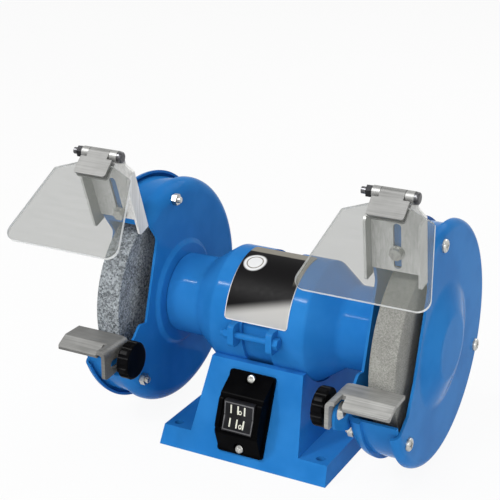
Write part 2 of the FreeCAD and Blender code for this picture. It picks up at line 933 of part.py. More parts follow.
def tab_room(side):
    """Clear space round the tab, taken out of the cover's rim."""
    w = tab_half_width + clear_gap
    low, high = -tab_down - clear_gap, tab_up + clear_gap
    room = prism([(-w, low), (w, low), (w, high), (-w, high)], flat, V(0, 0, -tab_thickness - 2 * clear_gap))
    return moved(on_tab(moved(room, z=clear_gap), side), x=guard_middle)


def guard_profile():
    """Half section of the guard: boss, plate, rounded rim and drum wall."""
    rim_end = guard_face + dish_rim_width
    slant = guard_sheet * 0.4
    foot = boss_radius + boss_slope
    return [
        (boss_face, guard_bore_radius), (boss_face, boss_radius, 1.5), (guard_face, foot, 1.5),
        (guard_face, dish_rim_radius, dish_edge_round), (rim_end, dish_rim_radius),
        (rim_end, wall_out_radius),
        (wall_end(wall_out_radius), wall_out_radius), (wall_end(wall_in_radius), wall_in_radius),
        (guard_in, wall_in_radius, 5.0),
        (guard_in, foot - slant, 1.5), (boss_face + guard_sheet, boss_radius - slant, 1.5),
        (boss_face + guard_sheet, guard_bore_radius)]


def cover_bolt_holes(x0, x1, radius):
    """Round bars on the cover's bolt circle, used as holes or shanks."""
    bars = []
    for i in range(cover_bolt_count):
        forward, height = polar(cover_bolt_circle, cover_bolt_first_angle - 360.0 / cover_bolt_count * i)
        bars.append(moved(tube_x(x0, x1, radius), y=-forward, z=height))
    return bars


def wheel_guard(side):
    """Guard about the X axis on the right, with its opening, tab and ear."""
    body = revolved(guard_profile()).cut(opening_cut(side, opening_sill, opening_sill_far))
    ear, ear_hole = rest_ear()
    body = body.fuse(ear).fuse(guard_tab(side)).cut(ear_hole)
    for hole in guard_screw_holes(boss_face, guard_in, guard_screw_diameter / 2 + clear_gap):
        body = body.cut(hole)
    for hole in cover_bolt_holes(boss_face, cover_in, cover_bolt_diameter / 2 + seat_gap):
        body = body.cut(hole)
    return body.removeSplitter()


def cover_profile():
    """Half section of the outer cover: dome, plate and rolled rim."""
    t = guard_sheet
    lip_end = cover_out - cover_lip
    return [
        (cover_out + dome_height, 0), (cover_out + dome_height, dome_flat_radius, dome_round),
        (cover_out, dome_foot_radius, dome_round), (cover_out, cover_rim_radius, cover_edge_round),
        (lip_end, cover_rim_radius), (lip_end, cover_rim_radius - t),
        (cover_in, cover_rim_radius - t, cover_edge_round - t),
        (cover_in, dome_foot_radius - t / 2, dome_round),
        (cover_in + dome_height, dome_flat_radius - t / 2, dome_round), (cover_in + dome_height, 0)]


def guard_cover(side):
    """Outer cover of the guard about the X axis on the right."""
    body = revolved(cover_profile()).cut(opening_cut(side, cover_sill, cover_sill_far))
    body = body.cut(tab_room(side))
    for hole in cover_bolt_holes(cover_in, cover_out, cover_bolt_diameter / 2 + seat_gap):
        body = body.cut(hole)
    return body


def cover_bolts():
    """Long screws that hold the covers, with domed heads outside."""
    bolts = []
    end = guard_face - cover_nut_height - cover_bolt_end
    for bar in cover_bolt_holes(end, cover_out, cover_bolt_diameter / 2):
        bolts.append(bar)
    head = revolved([(0, 0), (0, cover_bolt_diameter), (2.6, cover_bolt_diameter * 0.8, 2.0), (2.6, 0)])
    solids = []
    for i, bar in enumerate(bolts):
        forward, height = polar(cover_bolt_circle, cover_bolt_first_angle - 360.0 / cover_bolt_count * i)
        solids.append(bar.fuse(moved(head, cover_out, -forward, height)))
    return group(solids + [mirrored(s) for s in solids])


def cover_nuts():
    """Nuts of the cover screws, on the motor side of the guards."""
    x0 = guard_face - cover_nut_height
    nuts = []
    for i in range(cover_bolt_count):
        forward, height = polar(cover_bolt_circle, cover_bolt_first_angle - 360.0 / cover_bolt_count * i)
        nut = hex_x(x0, guard_face, cover_nut_flats, cover_bolt_diameter / 2 + seat_gap)
        nuts.append(moved(nut, y=-forward, z=height))
    return group(nuts + [mirrored(n) for n in nuts])


def guard_screws():
    """Screws that hold the guards to the bells, with their heads inside."""
    seat = boss_face + guard_sheet
    head = tube_x(seat, seat + guard_screw_diameter * 0.6, guard_screw_diameter * 0.85)
    shank = tube_x(bell_end - neck_wall, seat, guard_screw_diameter / 2)
    screws = ring_of(ahead(head.fuse(shank), guard_screw_circle), cover_bolt_count, guard_screw_first_angle)
    return group(screws + [mirrored(s) for s in screws])


# Spark guards and eye shields

def bracket_plate():
    """Flat of the spark guard, with its slot for the fixing bolt."""
    w = bracket_half_width
    n = neck_half_width
    shoulder = bracket_up + (w - n)
    outline = [
        (-w, -bracket_down), (w, -bracket_down), (w, bracket_up), (n, shoulder, 3), (n, hinge_up),
        (-n, hinge_up), (-n, shoulder, 3), (-w, bracket_up)]
    plate = prism(outline, lambda a, b: V(a, b, clear_gap), V(0, 0, bracket_sheet))
    half = slot_width / 2
    low, high = -slot_down, slot_up
    slot = prism(
        [(-half, low, half), (half, low, half), (half, high, half), (-half, high, half)],
        lambda a, b: V(a, b, 0), V(0, 0, 2 * bracket_sheet))
    return plate.cut(slot)


def bracket_flanges():
    """Side walls bent forward along the edges of the spark guard."""
    w, t = bracket_half_width, bracket_sheet
    front = clear_gap + bracket_flange_depth
    back = clear_gap
    low, high = -bracket_flange_down, bracket_up
    outline = [(back, low), (front, low, 2), (front, high - 2, 5), (back, high)]
    walls = []
    for x in (-w, w - t):
        walls.append(prism(outline, lambda a, b, x=x: V(x, b, a), V(t, 0, 0)))
    return walls


def spark_guard(side):
    """Adjustable spark guard with the fixed half of the shield's hinge."""
    body = bracket_plate()
    for wall in bracket_flanges():
        body = body.fuse(wall)
    barrel = tube_x(-knuckle_half_length, knuckle_half_length, knuckle_radius)
    body = body.fuse(moved(barrel, y=hinge_up, z=hinge_forward))
    room = clamp_knuckle_half + clear_gap
    drop = knuckle_radius + clamp_start
    notch = Part.makeBox(2 * room, 2 * drop, 4 * knuckle_radius, V(-room, hinge_up - drop, -knuckle_radius))
    bore = tube_x(-base_width, base_width, hinge_bolt_diameter / 2 + seat_gap)
    body = body.cut(notch).cut(moved(bore, y=hinge_up, z=hinge_forward))
    return on_tab(body.removeSplitter(), side, bracket_shift[side])


def spark_guard_bolt(side):
    """Bolt through the spark guard's slot and the tab."""
    seat = clear_gap + bracket_sheet + clear_gap + bracket_washer_thickness
    head = prism(hexagon(bracket_bolt_flats), lambda a, b: V(a, b, seat), V(0, 0, bracket_bolt_head))
    tail = tab_thickness + cover_nut_height + cover_bolt_end
    shank = Part.makeCylinder(bracket_bolt_diameter / 2, seat + tail, V(0, 0, -tail))
    return on_tab(head.fuse(shank), side)


def spark_guard_washer(side):
    """Washer under the bolt's head."""
    z = clear_gap + bracket_sheet + clear_gap
    ring = Part.makeCylinder(bracket_washer_radius, bracket_washer_thickness, V(0, 0, z))
    hole = Part.makeCylinder(bracket_bolt_diameter / 2 + seat_gap, bracket_washer_thickness, V(0, 0, z))
    return on_tab(ring.cut(hole), side)


def spark_guard_nut(side):
    """Nut behind the tab."""
    z = -tab_thickness - cover_nut_height
    body = prism(hexagon(bracket_bolt_flats), lambda a, b: V(a, b, z), V(0, 0, cover_nut_height))
    hole = Part.makeCylinder(bracket_bolt_diameter / 2 + seat_gap, cover_nut_height, V(0, 0, z))
    return on_tab(body.cut(hole), side)


def hinge_point(side):
    """Place of the shield's hinge line in the side plane, from the spindle line."""
    forward, height = along_tab(side, hinge_up + bracket_shift[side])
    lean = math.radians(tab_lean[side])
    return forward + hinge_forward * math.cos(lean), height - hinge_forward * math.sin(lean)


def on_hinge(shape, side):
    """Set a local shape on the shield's hinge line, with its own Z out of the shield's front."""
    forward, height = hinge_point(side)
    return framed(shape, V(0, -forward, height), 90 - shield_tilt)


def shield_outline():
    """Outline of the eye shield below its hinge: narrow top, sloping shoulders, flared sides."""
    top = -shield_top_start
    shoulder = top - shield_shoulder_drop
    bottom = top - shield_length
    half_top = shield_top_width / 2
    half_shoulder = shield_shoulder_width / 2
    half_bottom = shield_bottom_width / 2
    c = shield_corner
    right = [(half_bottom, bottom, c), (half_shoulder, shoulder, c / 3), (half_top, top)]
    left = [(-a, *rest) for a, *rest in reversed(right)]
    return [(a + shield_side_shift, *rest) for a, *rest in right + left]


def eye_shield(side):
    """Clear shield."""
    sheet = prism(shield_outline(), lambda a, b: V(a, b, shield_back_offset), V(0, 0, shield_thickness))
    return on_hinge(sheet, side)


def shield_clamp(side):
    """Hinge leaf that grips the shield's top edge from both faces."""
    w, t = clamp_half_width, clamp_sheet
    barrel = tube_x(-clamp_knuckle_half, clamp_knuckle_half, knuckle_radius)
    front = shield_back_offset + shield_thickness
    back = shield_back_offset - t
    body = barrel
    for z in (back, front):
        k = clamp_knuckle_half
        leaf = prism(
            [(-w, -clamp_length, 2), (w, -clamp_length, 2), (w, -clamp_start), (k, -clamp_start),
             (k, 0), (-k, 0), (-k, -clamp_start), (-w, -clamp_start)],
            lambda a, b, z=z: V(a, b, z), V(0, 0, t))
        body = body.fuse(leaf)
    corner = V(-2 * w, -clamp_length - shield_top_start, shield_back_offset)
    throat = Part.makeBox(4 * w, clamp_length, shield_thickness, corner)
    bore = tube_x(-w, w, hinge_bolt_diameter / 2 + run_gap)
    return on_hinge(body.cut(throat).cut(bore).removeSplitter(), side)


def shield_bolt(side):
    """Bolt that is the shield's hinge pin, with its round head on the right."""
    k = knuckle_half_length
    shank = tube_x(-k - hinge_nut_length - hinge_bolt_end, k, hinge_bolt_diameter / 2)
    head = revolved([
        (k, 0), (k, hinge_head_radius),
        (k + hinge_head_length, hinge_head_radius, 1.5), (k + hinge_head_length, 0)])
    return on_hinge(shank.fuse(head), side)


def shield_nut(side):
    """Nut on the left end of the hinge bolt."""
    k = knuckle_half_length
    bore = hinge_bolt_diameter / 2 + seat_gap
    return on_hinge(hex_x(-k - hinge_nut_length, -k, hinge_nut_flats, bore), side)


# Tool rests

def rest_point(forward, drop):
    """Point of a tool rest's side view: forward from its back edge, down from its top."""
    return -(rest_back + forward), rest_height - drop


def rest_bend_section():
    """Section across the rest where its leg turns down, in X and Z."""
    strip = leg_in + leg_strip
    t = rest_sheet
    corners = [
        (leg_in, leg_height), (leg_in, 0, rest_bend), (strip, 0), (strip, t), (leg_out, t, rest_bend - t),
        (leg_out, leg_height)]
    return corners


def tool_rest():
    """Right tool rest: table, sloping lip and slotted leg bent from one sheet."""
    t = rest_sheet
    angle = math.radians(lip_angle)
    run, fall = lip_length * math.cos(angle), lip_length * math.sin(angle)
    nose, bend = t * math.sin(angle), t * math.tan(angle / 2)
    table_side = [
        (0, 0), (rest_depth, 0, 3), (rest_depth + run, fall),
        (rest_depth + run - nose, fall + t * math.cos(angle)), (rest_depth - bend, t, 1), (0, t)]
    strip = leg_in + leg_strip

    def side_view(f, d):
        y, z = rest_point(f, d)
        return V(leg_in, y, z)

    table = prism(table_side, side_view, V(rest_out - leg_in, 0, 0))
    reach = rest_depth + run + overshoot
    plan = [
        (strip - overshoot, -overshoot), (rest_out, -overshoot),
        (rest_out, reach, rest_corner), (strip + lip_notch, reach, rest_corner),
        (strip + lip_notch, rest_depth + 1, 1), (strip - overshoot, rest_depth + 1)]
    top = rest_height + overshoot
    table = table.common(prism(plan, lambda x, f: V(x, -(rest_back + f), top), V(0, 0, -leg_height)))
    bend_bar = prism(
        rest_bend_section(), lambda x, d: V(x, -rest_back, rest_height - d), V(0, -leg_front, 0))
    leg_view = [
        (leg_back, -overshoot), (leg_front, -overshoot),
        (leg_front, leg_height, 3), (leg_back, leg_rear_height, 3)]
    leg = bend_bar.common(prism(leg_view, side_view, V(leg_strip, 0, 0)))
    half = rest_slot_width / 2
    s0, s1 = rest_slot_start, rest_slot_start + rest_slot_length
    low, high = rest_bolt_drop - half, rest_bolt_drop + half
    slot = prism(
        [(s0, low, half), (s1, low, half), (s1, high, half), (s0, high, half)],
        side_view, V(rest_sheet, 0, 0))
    return table.fuse(leg).cut(slot).removeSplitter()


def at_rest_bolt(shape):
    """Set a shape made about the X axis on the tool rest's bolt."""
    return moved(shape, y=-rest_bolt_forward, z=rest_bolt_height)


def rest_bolt():
    """Round-headed bolt through the ear, the rest's slot and the knob."""
    end = knob_face - knob_bolt_depth
    shank = tube_x(end, guard_in, rest_bolt_diameter / 2)
    head = revolved([
        (guard_in, 0), (guard_in, rest_head_radius),
        (guard_in + rest_head_height, rest_head_radius * 0.6, 2.0), (guard_in + rest_head_height, 0)])
    return at_rest_bolt(shank.fuse(head))


def rest_washer():
    """Washer between the rest's leg and the knob."""
    x0 = rest_washer_out - rest_washer_thickness
    return at_rest_bolt(tube_x(x0, rest_washer_out, rest_washer_radius, rest_bolt_diameter / 2 + run_gap))


def rest_knob():
    """Fluted clamping knob."""
    x0 = knob_face - knob_hub_length
    x1 = x0 - knob_length
    body = revolved([
        (x1, 0), (x1, knob_radius, 2.5), (x0, knob_radius, 1.5), (x0, knob_hub_radius),
        (knob_face, knob_hub_radius, 1.0), (knob_face, 0)])
    groove = tube_x(x1 - overshoot, x0 + overshoot, knob_flute_radius)
    flute = ahead(groove, knob_radius + knob_flute_radius * 0.45)
    for cut in ring_of(flute, knob_flutes, 0):
        body = body.cut(cut)
    depth = knob_bolt_depth + overshoot
    body = body.cut(tube_x(knob_face - depth, knob_face, rest_bolt_diameter / 2 + run_gap))
    return at_rest_bolt(body)


# Switch

def hood_profile():
    """Side view of the switch hood: up the slope, out from the plate."""
    p = switch_plate
    return [
        (-hood_low_foot, p), (-hood_low, hood_height, 3), (hood_high, hood_height, 3), (hood_high_foot, p)]


def rocker_window():
    """Space that the rocker turns in."""
    half = rocker_width / 2 + clear_gap
    radius = rocker_radius + clear_gap
    window = moved(tube_x(-half, half, radius), z=rocker_pivot_height)
    mouth = Part.makeBox(2 * half, 2 * radius, hood_height, V(-half, -radius, rocker_pivot_height))
    under = rocker_pivot_height - rocker_floor
    swing = math.radians(rocker_swing)
    deep = under * math.cos(swing) + math.sqrt(rocker_radius ** 2 - under ** 2) * math.sin(swing)
    low = rocker_pivot_height - deep - clear_gap - 2 * radius
    floor = Part.makeBox(2 * half, 2 * radius, 2 * radius, V(-half, -radius, low))
    return moved(window.fuse(mouth).cut(floor), y=rocker_offset)


def switch_housing():
    """Moulded switch plate with a raised hood, cheeks and screw pockets."""
    w, h = switch_width / 2, switch_height / 2
    c = switch_corner
    plate = prism([(-w, -h, c), (w, -h, c), (w, h, c), (-w, h, c)], flat, V(0, 0, switch_plate))
    hood = prism(hood_profile(), lambda v, n: V(-hood_half_width, v, n), V(2 * hood_half_width, 0, 0))
    body = plate.fuse(hood)
    rise = hood_height + cheek_rise
    cheek_view = [
        (-hood_low, switch_plate), (-hood_low + 3, rise, 3),
        (hood_high - 3, rise, 3), (hood_high, switch_plate)]
    for x in (-hood_half_width, hood_half_width - cheek_width):
        body = body.fuse(prism(cheek_view, lambda v, n, x=x: V(x, v, n), V(cheek_width, 0, 0)))
    body = body.cut(rocker_window())
    pin = tube_x(-w, w, rocker_pin_radius + run_gap)
    reach = rocker_width / 2 + clear_gap + rocker_pin_length
    pin = pin.common(tube_x(-reach, reach, w))
    body = body.cut(moved(pin, y=rocker_offset, z=rocker_pivot_height))
    for v in (-switch_screw_offset, switch_screw_offset):
        body = body.cut(Part.makeCylinder(switch_pocket_radius, hood_height, V(0, v, switch_plate)))
        body = body.cut(Part.makeCylinder(switch_screw_diameter / 2 + clear_gap, switch_plate, V(0, v, 0)))
    return on_front(body.removeSplitter())


def switch_rocker():
    """Rocker with two faces, its lower half pressed in at rest."""
    half = rocker_width / 2
    r = rocker_radius
    rise = r * math.tan(math.radians(rocker_swing))
    top = rocker_face - rocker_pivot_height
    low = rocker_floor - rocker_pivot_height
    outline = [(-r, low), (r, low), (r, top + rise), (0, top), (-r, top)]
    body = prism(outline, lambda v, n: V(-half, v, n), V(2 * half, 0, 0))
    body = body.common(tube_x(-half, half, r))
    reach = half + rocker_pin_length
    body = body.fuse(tube_x(-reach, reach, rocker_pin_radius)).removeSplitter()
    return on_front(moved(body, y=rocker_offset, z=rocker_pivot_height))


def switch_screws():
    """Two screws that hold the switch plate to the base."""
    screws = []
    for v in (-switch_screw_offset, switch_screw_offset):
        head = Part.makeCylinder(switch_screw_head_radius, switch_screw_head, V(0, v, switch_plate))
        shank = Part.makeCylinder(
            switch_screw_diameter / 2, switch_screw_length + switch_plate, V(0, v, -switch_screw_length))
        screws.append(on_front(head.fuse(shank)))
    return group(screws)


def switch_body():
    """Switch block behind the plate, with its tab terminals."""
    w, h, d = switch_body_width, switch_body_height, switch_body_depth
    block = prism(
        [(-w / 2, -h / 2, 1), (w / 2, -h / 2, 1), (w / 2, h / 2, 1), (-w / 2, h / 2, 1)], flat, V(0, 0, -d))
    for x in (-terminal_pitch / 2, terminal_pitch / 2):
        for v in (-terminal_pitch / 2, terminal_pitch / 2):
            corner = V(x - terminal_thickness / 2, v - terminal_width / 2, -d - terminal_length)
            block = block.fuse(Part.makeBox(terminal_thickness, terminal_width, terminal_length, corner))
    return on_front(block, rocker_offset)


# Electrical pieces inside the base

def capacitor():
    """Run capacitor lying on the bottom cover."""
    half = capacitor_length / 2
    r = capacitor_radius
    body = revolved([(-half, 0), (-half, r, 1.5), (half, r, 1.5), (half, 0)])
    for y in (-r / 3, r / 3):
        body = body.fuse(moved(tube_x(half, half + terminal_length, terminal_thickness * 2), y=y))
    return moved(body, y=capacitor_y, z=cover_plate_top + r + seat_gap)


def capacitor_strap():
    """Strap that holds the capacitor down to the bottom cover."""
    r_in = capacitor_radius + clear_gap
    r_out = r_in + strap_sheet
    w = strap_width
    axis_z = capacitor_radius + seat_gap
    arch = tube_x(-w / 2, w / 2, r_out).fuse(Part.makeBox(w, 2 * r_out, axis_z, V(-w / 2, -r_out, -axis_z)))
    room = tube_x(-w, w, r_in).fuse(Part.makeBox(2 * w, 2 * r_in, axis_z, V(-w, -r_in, -axis_z)))
    above = Part.makeBox(2 * w, 4 * r_out, 2 * r_out, V(-w, -2 * r_out, -axis_z))
    strap = arch.cut(room).common(above)
    for y in (-r_out - strap_foot, r_in):
        foot = Part.makeBox(w, strap_foot + strap_sheet, strap_sheet, V(-w / 2, y, -axis_z))
        strap = strap.fuse(foot)
    strap = strap.removeSplitter()
    return moved(strap, y=capacitor_y, z=cover_plate_top + axis_z)


def terminal_block():
    """Terminal block standing on the bottom cover."""
    w, d, h = terminal_block_size
    body = Part.makeBox(w, d, h, V(-w / 2, terminal_block_y - d / 2, cover_plate_top))
    pitch = w / terminal_ways
    for i in range(terminal_ways):
        x = (i - (terminal_ways - 1) / 2) * pitch
        hole = Part.makeCylinder(terminal_hole_radius, h / 2, V(x, terminal_block_y, cover_plate_top + h / 2))
        body = body.cut(hole)
    return body


def cable_grommet():
    """Rubber bush in the back wall where a cable enters."""
    t = base_wall
    neck, flange, bore = grommet_neck / 2, grommet_flange / 2, grommet_bore / 2
    lip = grommet_flange_thickness
    section = [
        (-t - lip, bore), (lip, bore), (lip, flange * 0.8, 1.0), (0, flange),
        (0, neck), (-t, neck), (-t, flange), (-t - lip, flange * 0.8, 1.0)]
    face = Part.Face(rounded_wire(section, lambda n, r: V(r, 0, n)))
    return on_back(face.revolve(ORIGIN, Z_AXIS, 360))


# Assembly

def right_and_left(shape):
    """A pair of mirrored shapes, by side."""
    return {"right": shape, "left": mirrored(shape)}


def side_place(side):
    """Middle of a guard along the spindle, with its sign."""
    return guard_middle if side == "right" else -guard_middle


def motor_nodes():
    """Pieces of the motor that stand still."""
    bells = right_and_left(end_bell())
    rings = right_and_left(bearing_outer_ring())
    nodes = {
        "stator_core": stator_core(), "stator_windings": stator_windings(), "tie_bolts": tie_bolts(),
        "tie_nuts": tie_nuts(), "motor_label": motor_label(), "saddle_screws": saddle_screws(),
        "wave_washer": wave_washer()}
    for side in ("left", "right"):
        nodes[side + "_end_bell"] = bells[side]
        nodes[side + "_bearing_outer_ring"] = rings[side]
    return {name: on_spindle(shape) for name, shape in nodes.items()}


def rotor_nodes():
    """Pieces that turn with the spindle, and the bearings' balls."""
    wheels = right_and_left(grinding_wheel())
    rings = right_and_left(bearing_inner_ring())
    nodes = {
        "spindle": spindle(), "rotor_core": rotor_core(), "wheel_flanges": wheel_flanges(),
        "wheel_blotters": wheel_blotters(), "spindle_nuts": spindle_nuts(), "bearing_balls": bearing_balls()}
    for side in ("left", "right"):
        nodes[side + "_wheel"] = wheels[side]
        nodes[side + "_bearing_inner_ring"] = rings[side]
    return {name: on_spindle(shape) for name, shape in nodes.items()}


def guard_nodes():
    """Guards, covers and their fasteners."""
    nodes = {"cover_bolts": cover_bolts(), "cover_nuts": cover_nuts(), "guard_screws": guard_screws()}
    for side in ("left", "right"):
        hand = mirrored if side == "left" else lambda shape: shape
        nodes[side + "_guard"] = hand(wheel_guard(side))
        nodes[side + "_guard_cover"] = hand(guard_cover(side))
    for name, maker in (
            ("spark_guard_bolts", spark_guard_bolt), ("spark_guard_washers", spark_guard_washer),
            ("spark_guard_nuts", spark_guard_nut)):
        nodes[name] = group([moved(maker(side), x=side_place(side)) for side in ("left", "right")])
    return {name: on_spindle(shape) for name, shape in nodes.items()}


def shield_nodes():
    """Spark guards and eye shields: the same parts on both sides, not mirrored."""
    nodes = {}
    makers = {
        "spark_guard": spark_guard, "eye_shield": eye_shield, "shield_clamp": shield_clamp,
        "shield_bolt": shield_bolt, "shield_nut": shield_nut}
    for side in ("left", "right"):
        for name, maker in makers.items():
            nodes[side + "_" + name] = on_spindle(moved(maker(side), x=side_place(side)))
    return nodes


def rest_nodes():
    """Tool rests with their bolts, washers and knobs."""
    nodes = {}
    makers = {
        "tool_rest": tool_rest, "rest_bolt": rest_bolt,
        "rest_washer": rest_washer, "rest_knob": rest_knob}
    for name, maker in makers.items():
        for side, shape in right_and_left(maker()).items():
            nodes[side + "_" + name] = shape
    nodes["left_tool_rest"] = moved(nodes["left_tool_rest"], y=-left_rest_out)
    return nodes


def base_nodes():
    """Base, switch and the electrical pieces in the base."""
    return {
        "base_pedestal": base_pedestal(), "base_bottom_cover": base_bottom_cover(),
        "base_cover_screws": base_cover_screws(), "switch_housing": switch_housing(),
        "switch_rocker": switch_rocker(), "switch_screws": switch_screws(), "switch_body": switch_body(),
        "capacitor": capacitor(), "capacitor_strap": capacitor_strap(), "terminal_block": terminal_block(),
        "cable_grommet": cable_grommet()}


def main():
    """Build every piece and write it to its own file."""
    os.makedirs("parts", exist_ok=True)
    for nodes in (base_nodes(), motor_nodes(), rotor_nodes(), guard_nodes(), shield_nodes(), rest_nodes()):
        for name, shape in nodes.items():
            shape.exportStep(os.path.join("parts", name + ".step"))


if __name__ == "__main__":
    main()
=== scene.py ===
"""Looks of the bench grinder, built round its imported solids."""

import json
import logging
import math
from dataclasses import dataclass
from enum import Enum
from typing import Any, Dict, List, Optional, Sequence, Tuple, Union

import bpy
from mathutils import Matrix, Vector


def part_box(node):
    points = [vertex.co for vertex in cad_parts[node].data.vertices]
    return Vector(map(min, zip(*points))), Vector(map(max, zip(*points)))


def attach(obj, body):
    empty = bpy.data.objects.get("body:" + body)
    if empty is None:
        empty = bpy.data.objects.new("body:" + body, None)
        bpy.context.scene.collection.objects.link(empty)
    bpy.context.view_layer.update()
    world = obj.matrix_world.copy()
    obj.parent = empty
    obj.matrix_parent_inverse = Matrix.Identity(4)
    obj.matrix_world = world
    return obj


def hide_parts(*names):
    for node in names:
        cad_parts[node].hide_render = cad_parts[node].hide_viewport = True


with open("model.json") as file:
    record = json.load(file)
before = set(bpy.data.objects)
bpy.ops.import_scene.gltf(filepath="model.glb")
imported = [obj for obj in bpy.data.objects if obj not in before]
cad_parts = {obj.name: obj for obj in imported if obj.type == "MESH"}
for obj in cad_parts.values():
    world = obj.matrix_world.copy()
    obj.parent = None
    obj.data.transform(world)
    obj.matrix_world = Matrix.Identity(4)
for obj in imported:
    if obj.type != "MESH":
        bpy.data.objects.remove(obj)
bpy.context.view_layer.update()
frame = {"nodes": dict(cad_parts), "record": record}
LOG = logging.getLogger("grinder")
MM = 0.001
SPINDLE_HEIGHT = 100 * MM
Colour = Tuple[float, float, float, float]
Point = Tuple[float, float, float]
Span = Tuple[float, float]
WHITE: Colour = (1.0, 1.0, 1.0, 1.0)


def tone(red: float, green: float, blue: float) -> Colour:
    """Turn a display colour into the linear one that shaders use.

    Args:
        red: Red from 0 to 255.
        green: Green from 0 to 255.
        blue: Blue from 0 to 255.

    Returns:
        The linear colour with full opacity.
    """
    def linear(value: float) -> float:
        """Undo the standard display curve of one channel."""
        share = value / 255
        return share / 12.92 if share <= 0.04045 else ((share + 0.055) / 1.055) ** 2.4
    return (linear(red), linear(green), linear(blue), 1.0)


class Ride(Enum):
    """Moving bodies that new pieces ride on."""

    FRAME = "frame"
    ROCKER = "rocker"


class Axis(Enum):
    """Direction that brushing runs in, as stretch along X, Y and Z."""

    ALONG_X = (25.0, 900.0, 900.0)
    ALONG_Z = (900.0, 900.0, 25.0)


class Half(Enum):
    """Halves of the rocker, as the sign of their direction from the pivot line."""

    UPPER = 1.0
    LOWER = -1.0


Value = Union["Wire", float]


class Wire:
    """A shader socket that takes part in Python arithmetic."""

    def __init__(self, board: "Board", socket: bpy.types.NodeSocket) -> None:
        """Keep the socket and the board that it belongs to."""
        self.board = board
        self.socket = socket

    def __add__(self, other: Value) -> "Wire":
        """Sum of two values."""
        return self.board.maths("ADD", self, other)

    def __radd__(self, other: Value) -> "Wire":
        """Sum with the wire second."""
        return self.board.maths("ADD", other, self)

    def __sub__(self, other: Value) -> "Wire":
        """Difference of two values."""
        return self.board.maths("SUBTRACT", self, other)

    def __rsub__(self, other: Value) -> "Wire":
        """Difference with the wire second."""
        return self.board.maths("SUBTRACT", other, self)

    def __mul__(self, other: Value) -> "Wire":
        """Product of two values."""
        return self.board.maths("MULTIPLY", self, other)

    def __rmul__(self, other: Value) -> "Wire":
        """Product with the wire second."""
        return self.board.maths("MULTIPLY", other, self)

    def __truediv__(self, other: Value) -> "Wire":
        """Quotient of two values."""
        return self.board.maths("DIVIDE", self, other)

    def __rtruediv__(self, other: Value) -> "Wire":
        """Quotient with the wire second."""
        return self.board.maths("DIVIDE", other, self)

    def __neg__(self) -> "Wire":
        """The value with its sign turned."""
        return self.board.maths("MULTIPLY", self, -1.0)

    def __abs__(self) -> "Wire":
        """The value without its sign."""
        return self.board.maths("ABSOLUTE", self)

    def at_most(self, other: Value) -> "Wire":
        """Smaller of two values."""
        return self.board.maths("MINIMUM", self, other)

    def at_least(self, other: Value) -> "Wire":
        """Larger of two values."""
        return self.board.maths("MAXIMUM", self, other)

    def around(self, middle: float, spread: float) -> "Wire":
        """Noise from 0 to 1 turned into a value that swings round a middle."""
        return middle + spread * (self - 0.5)


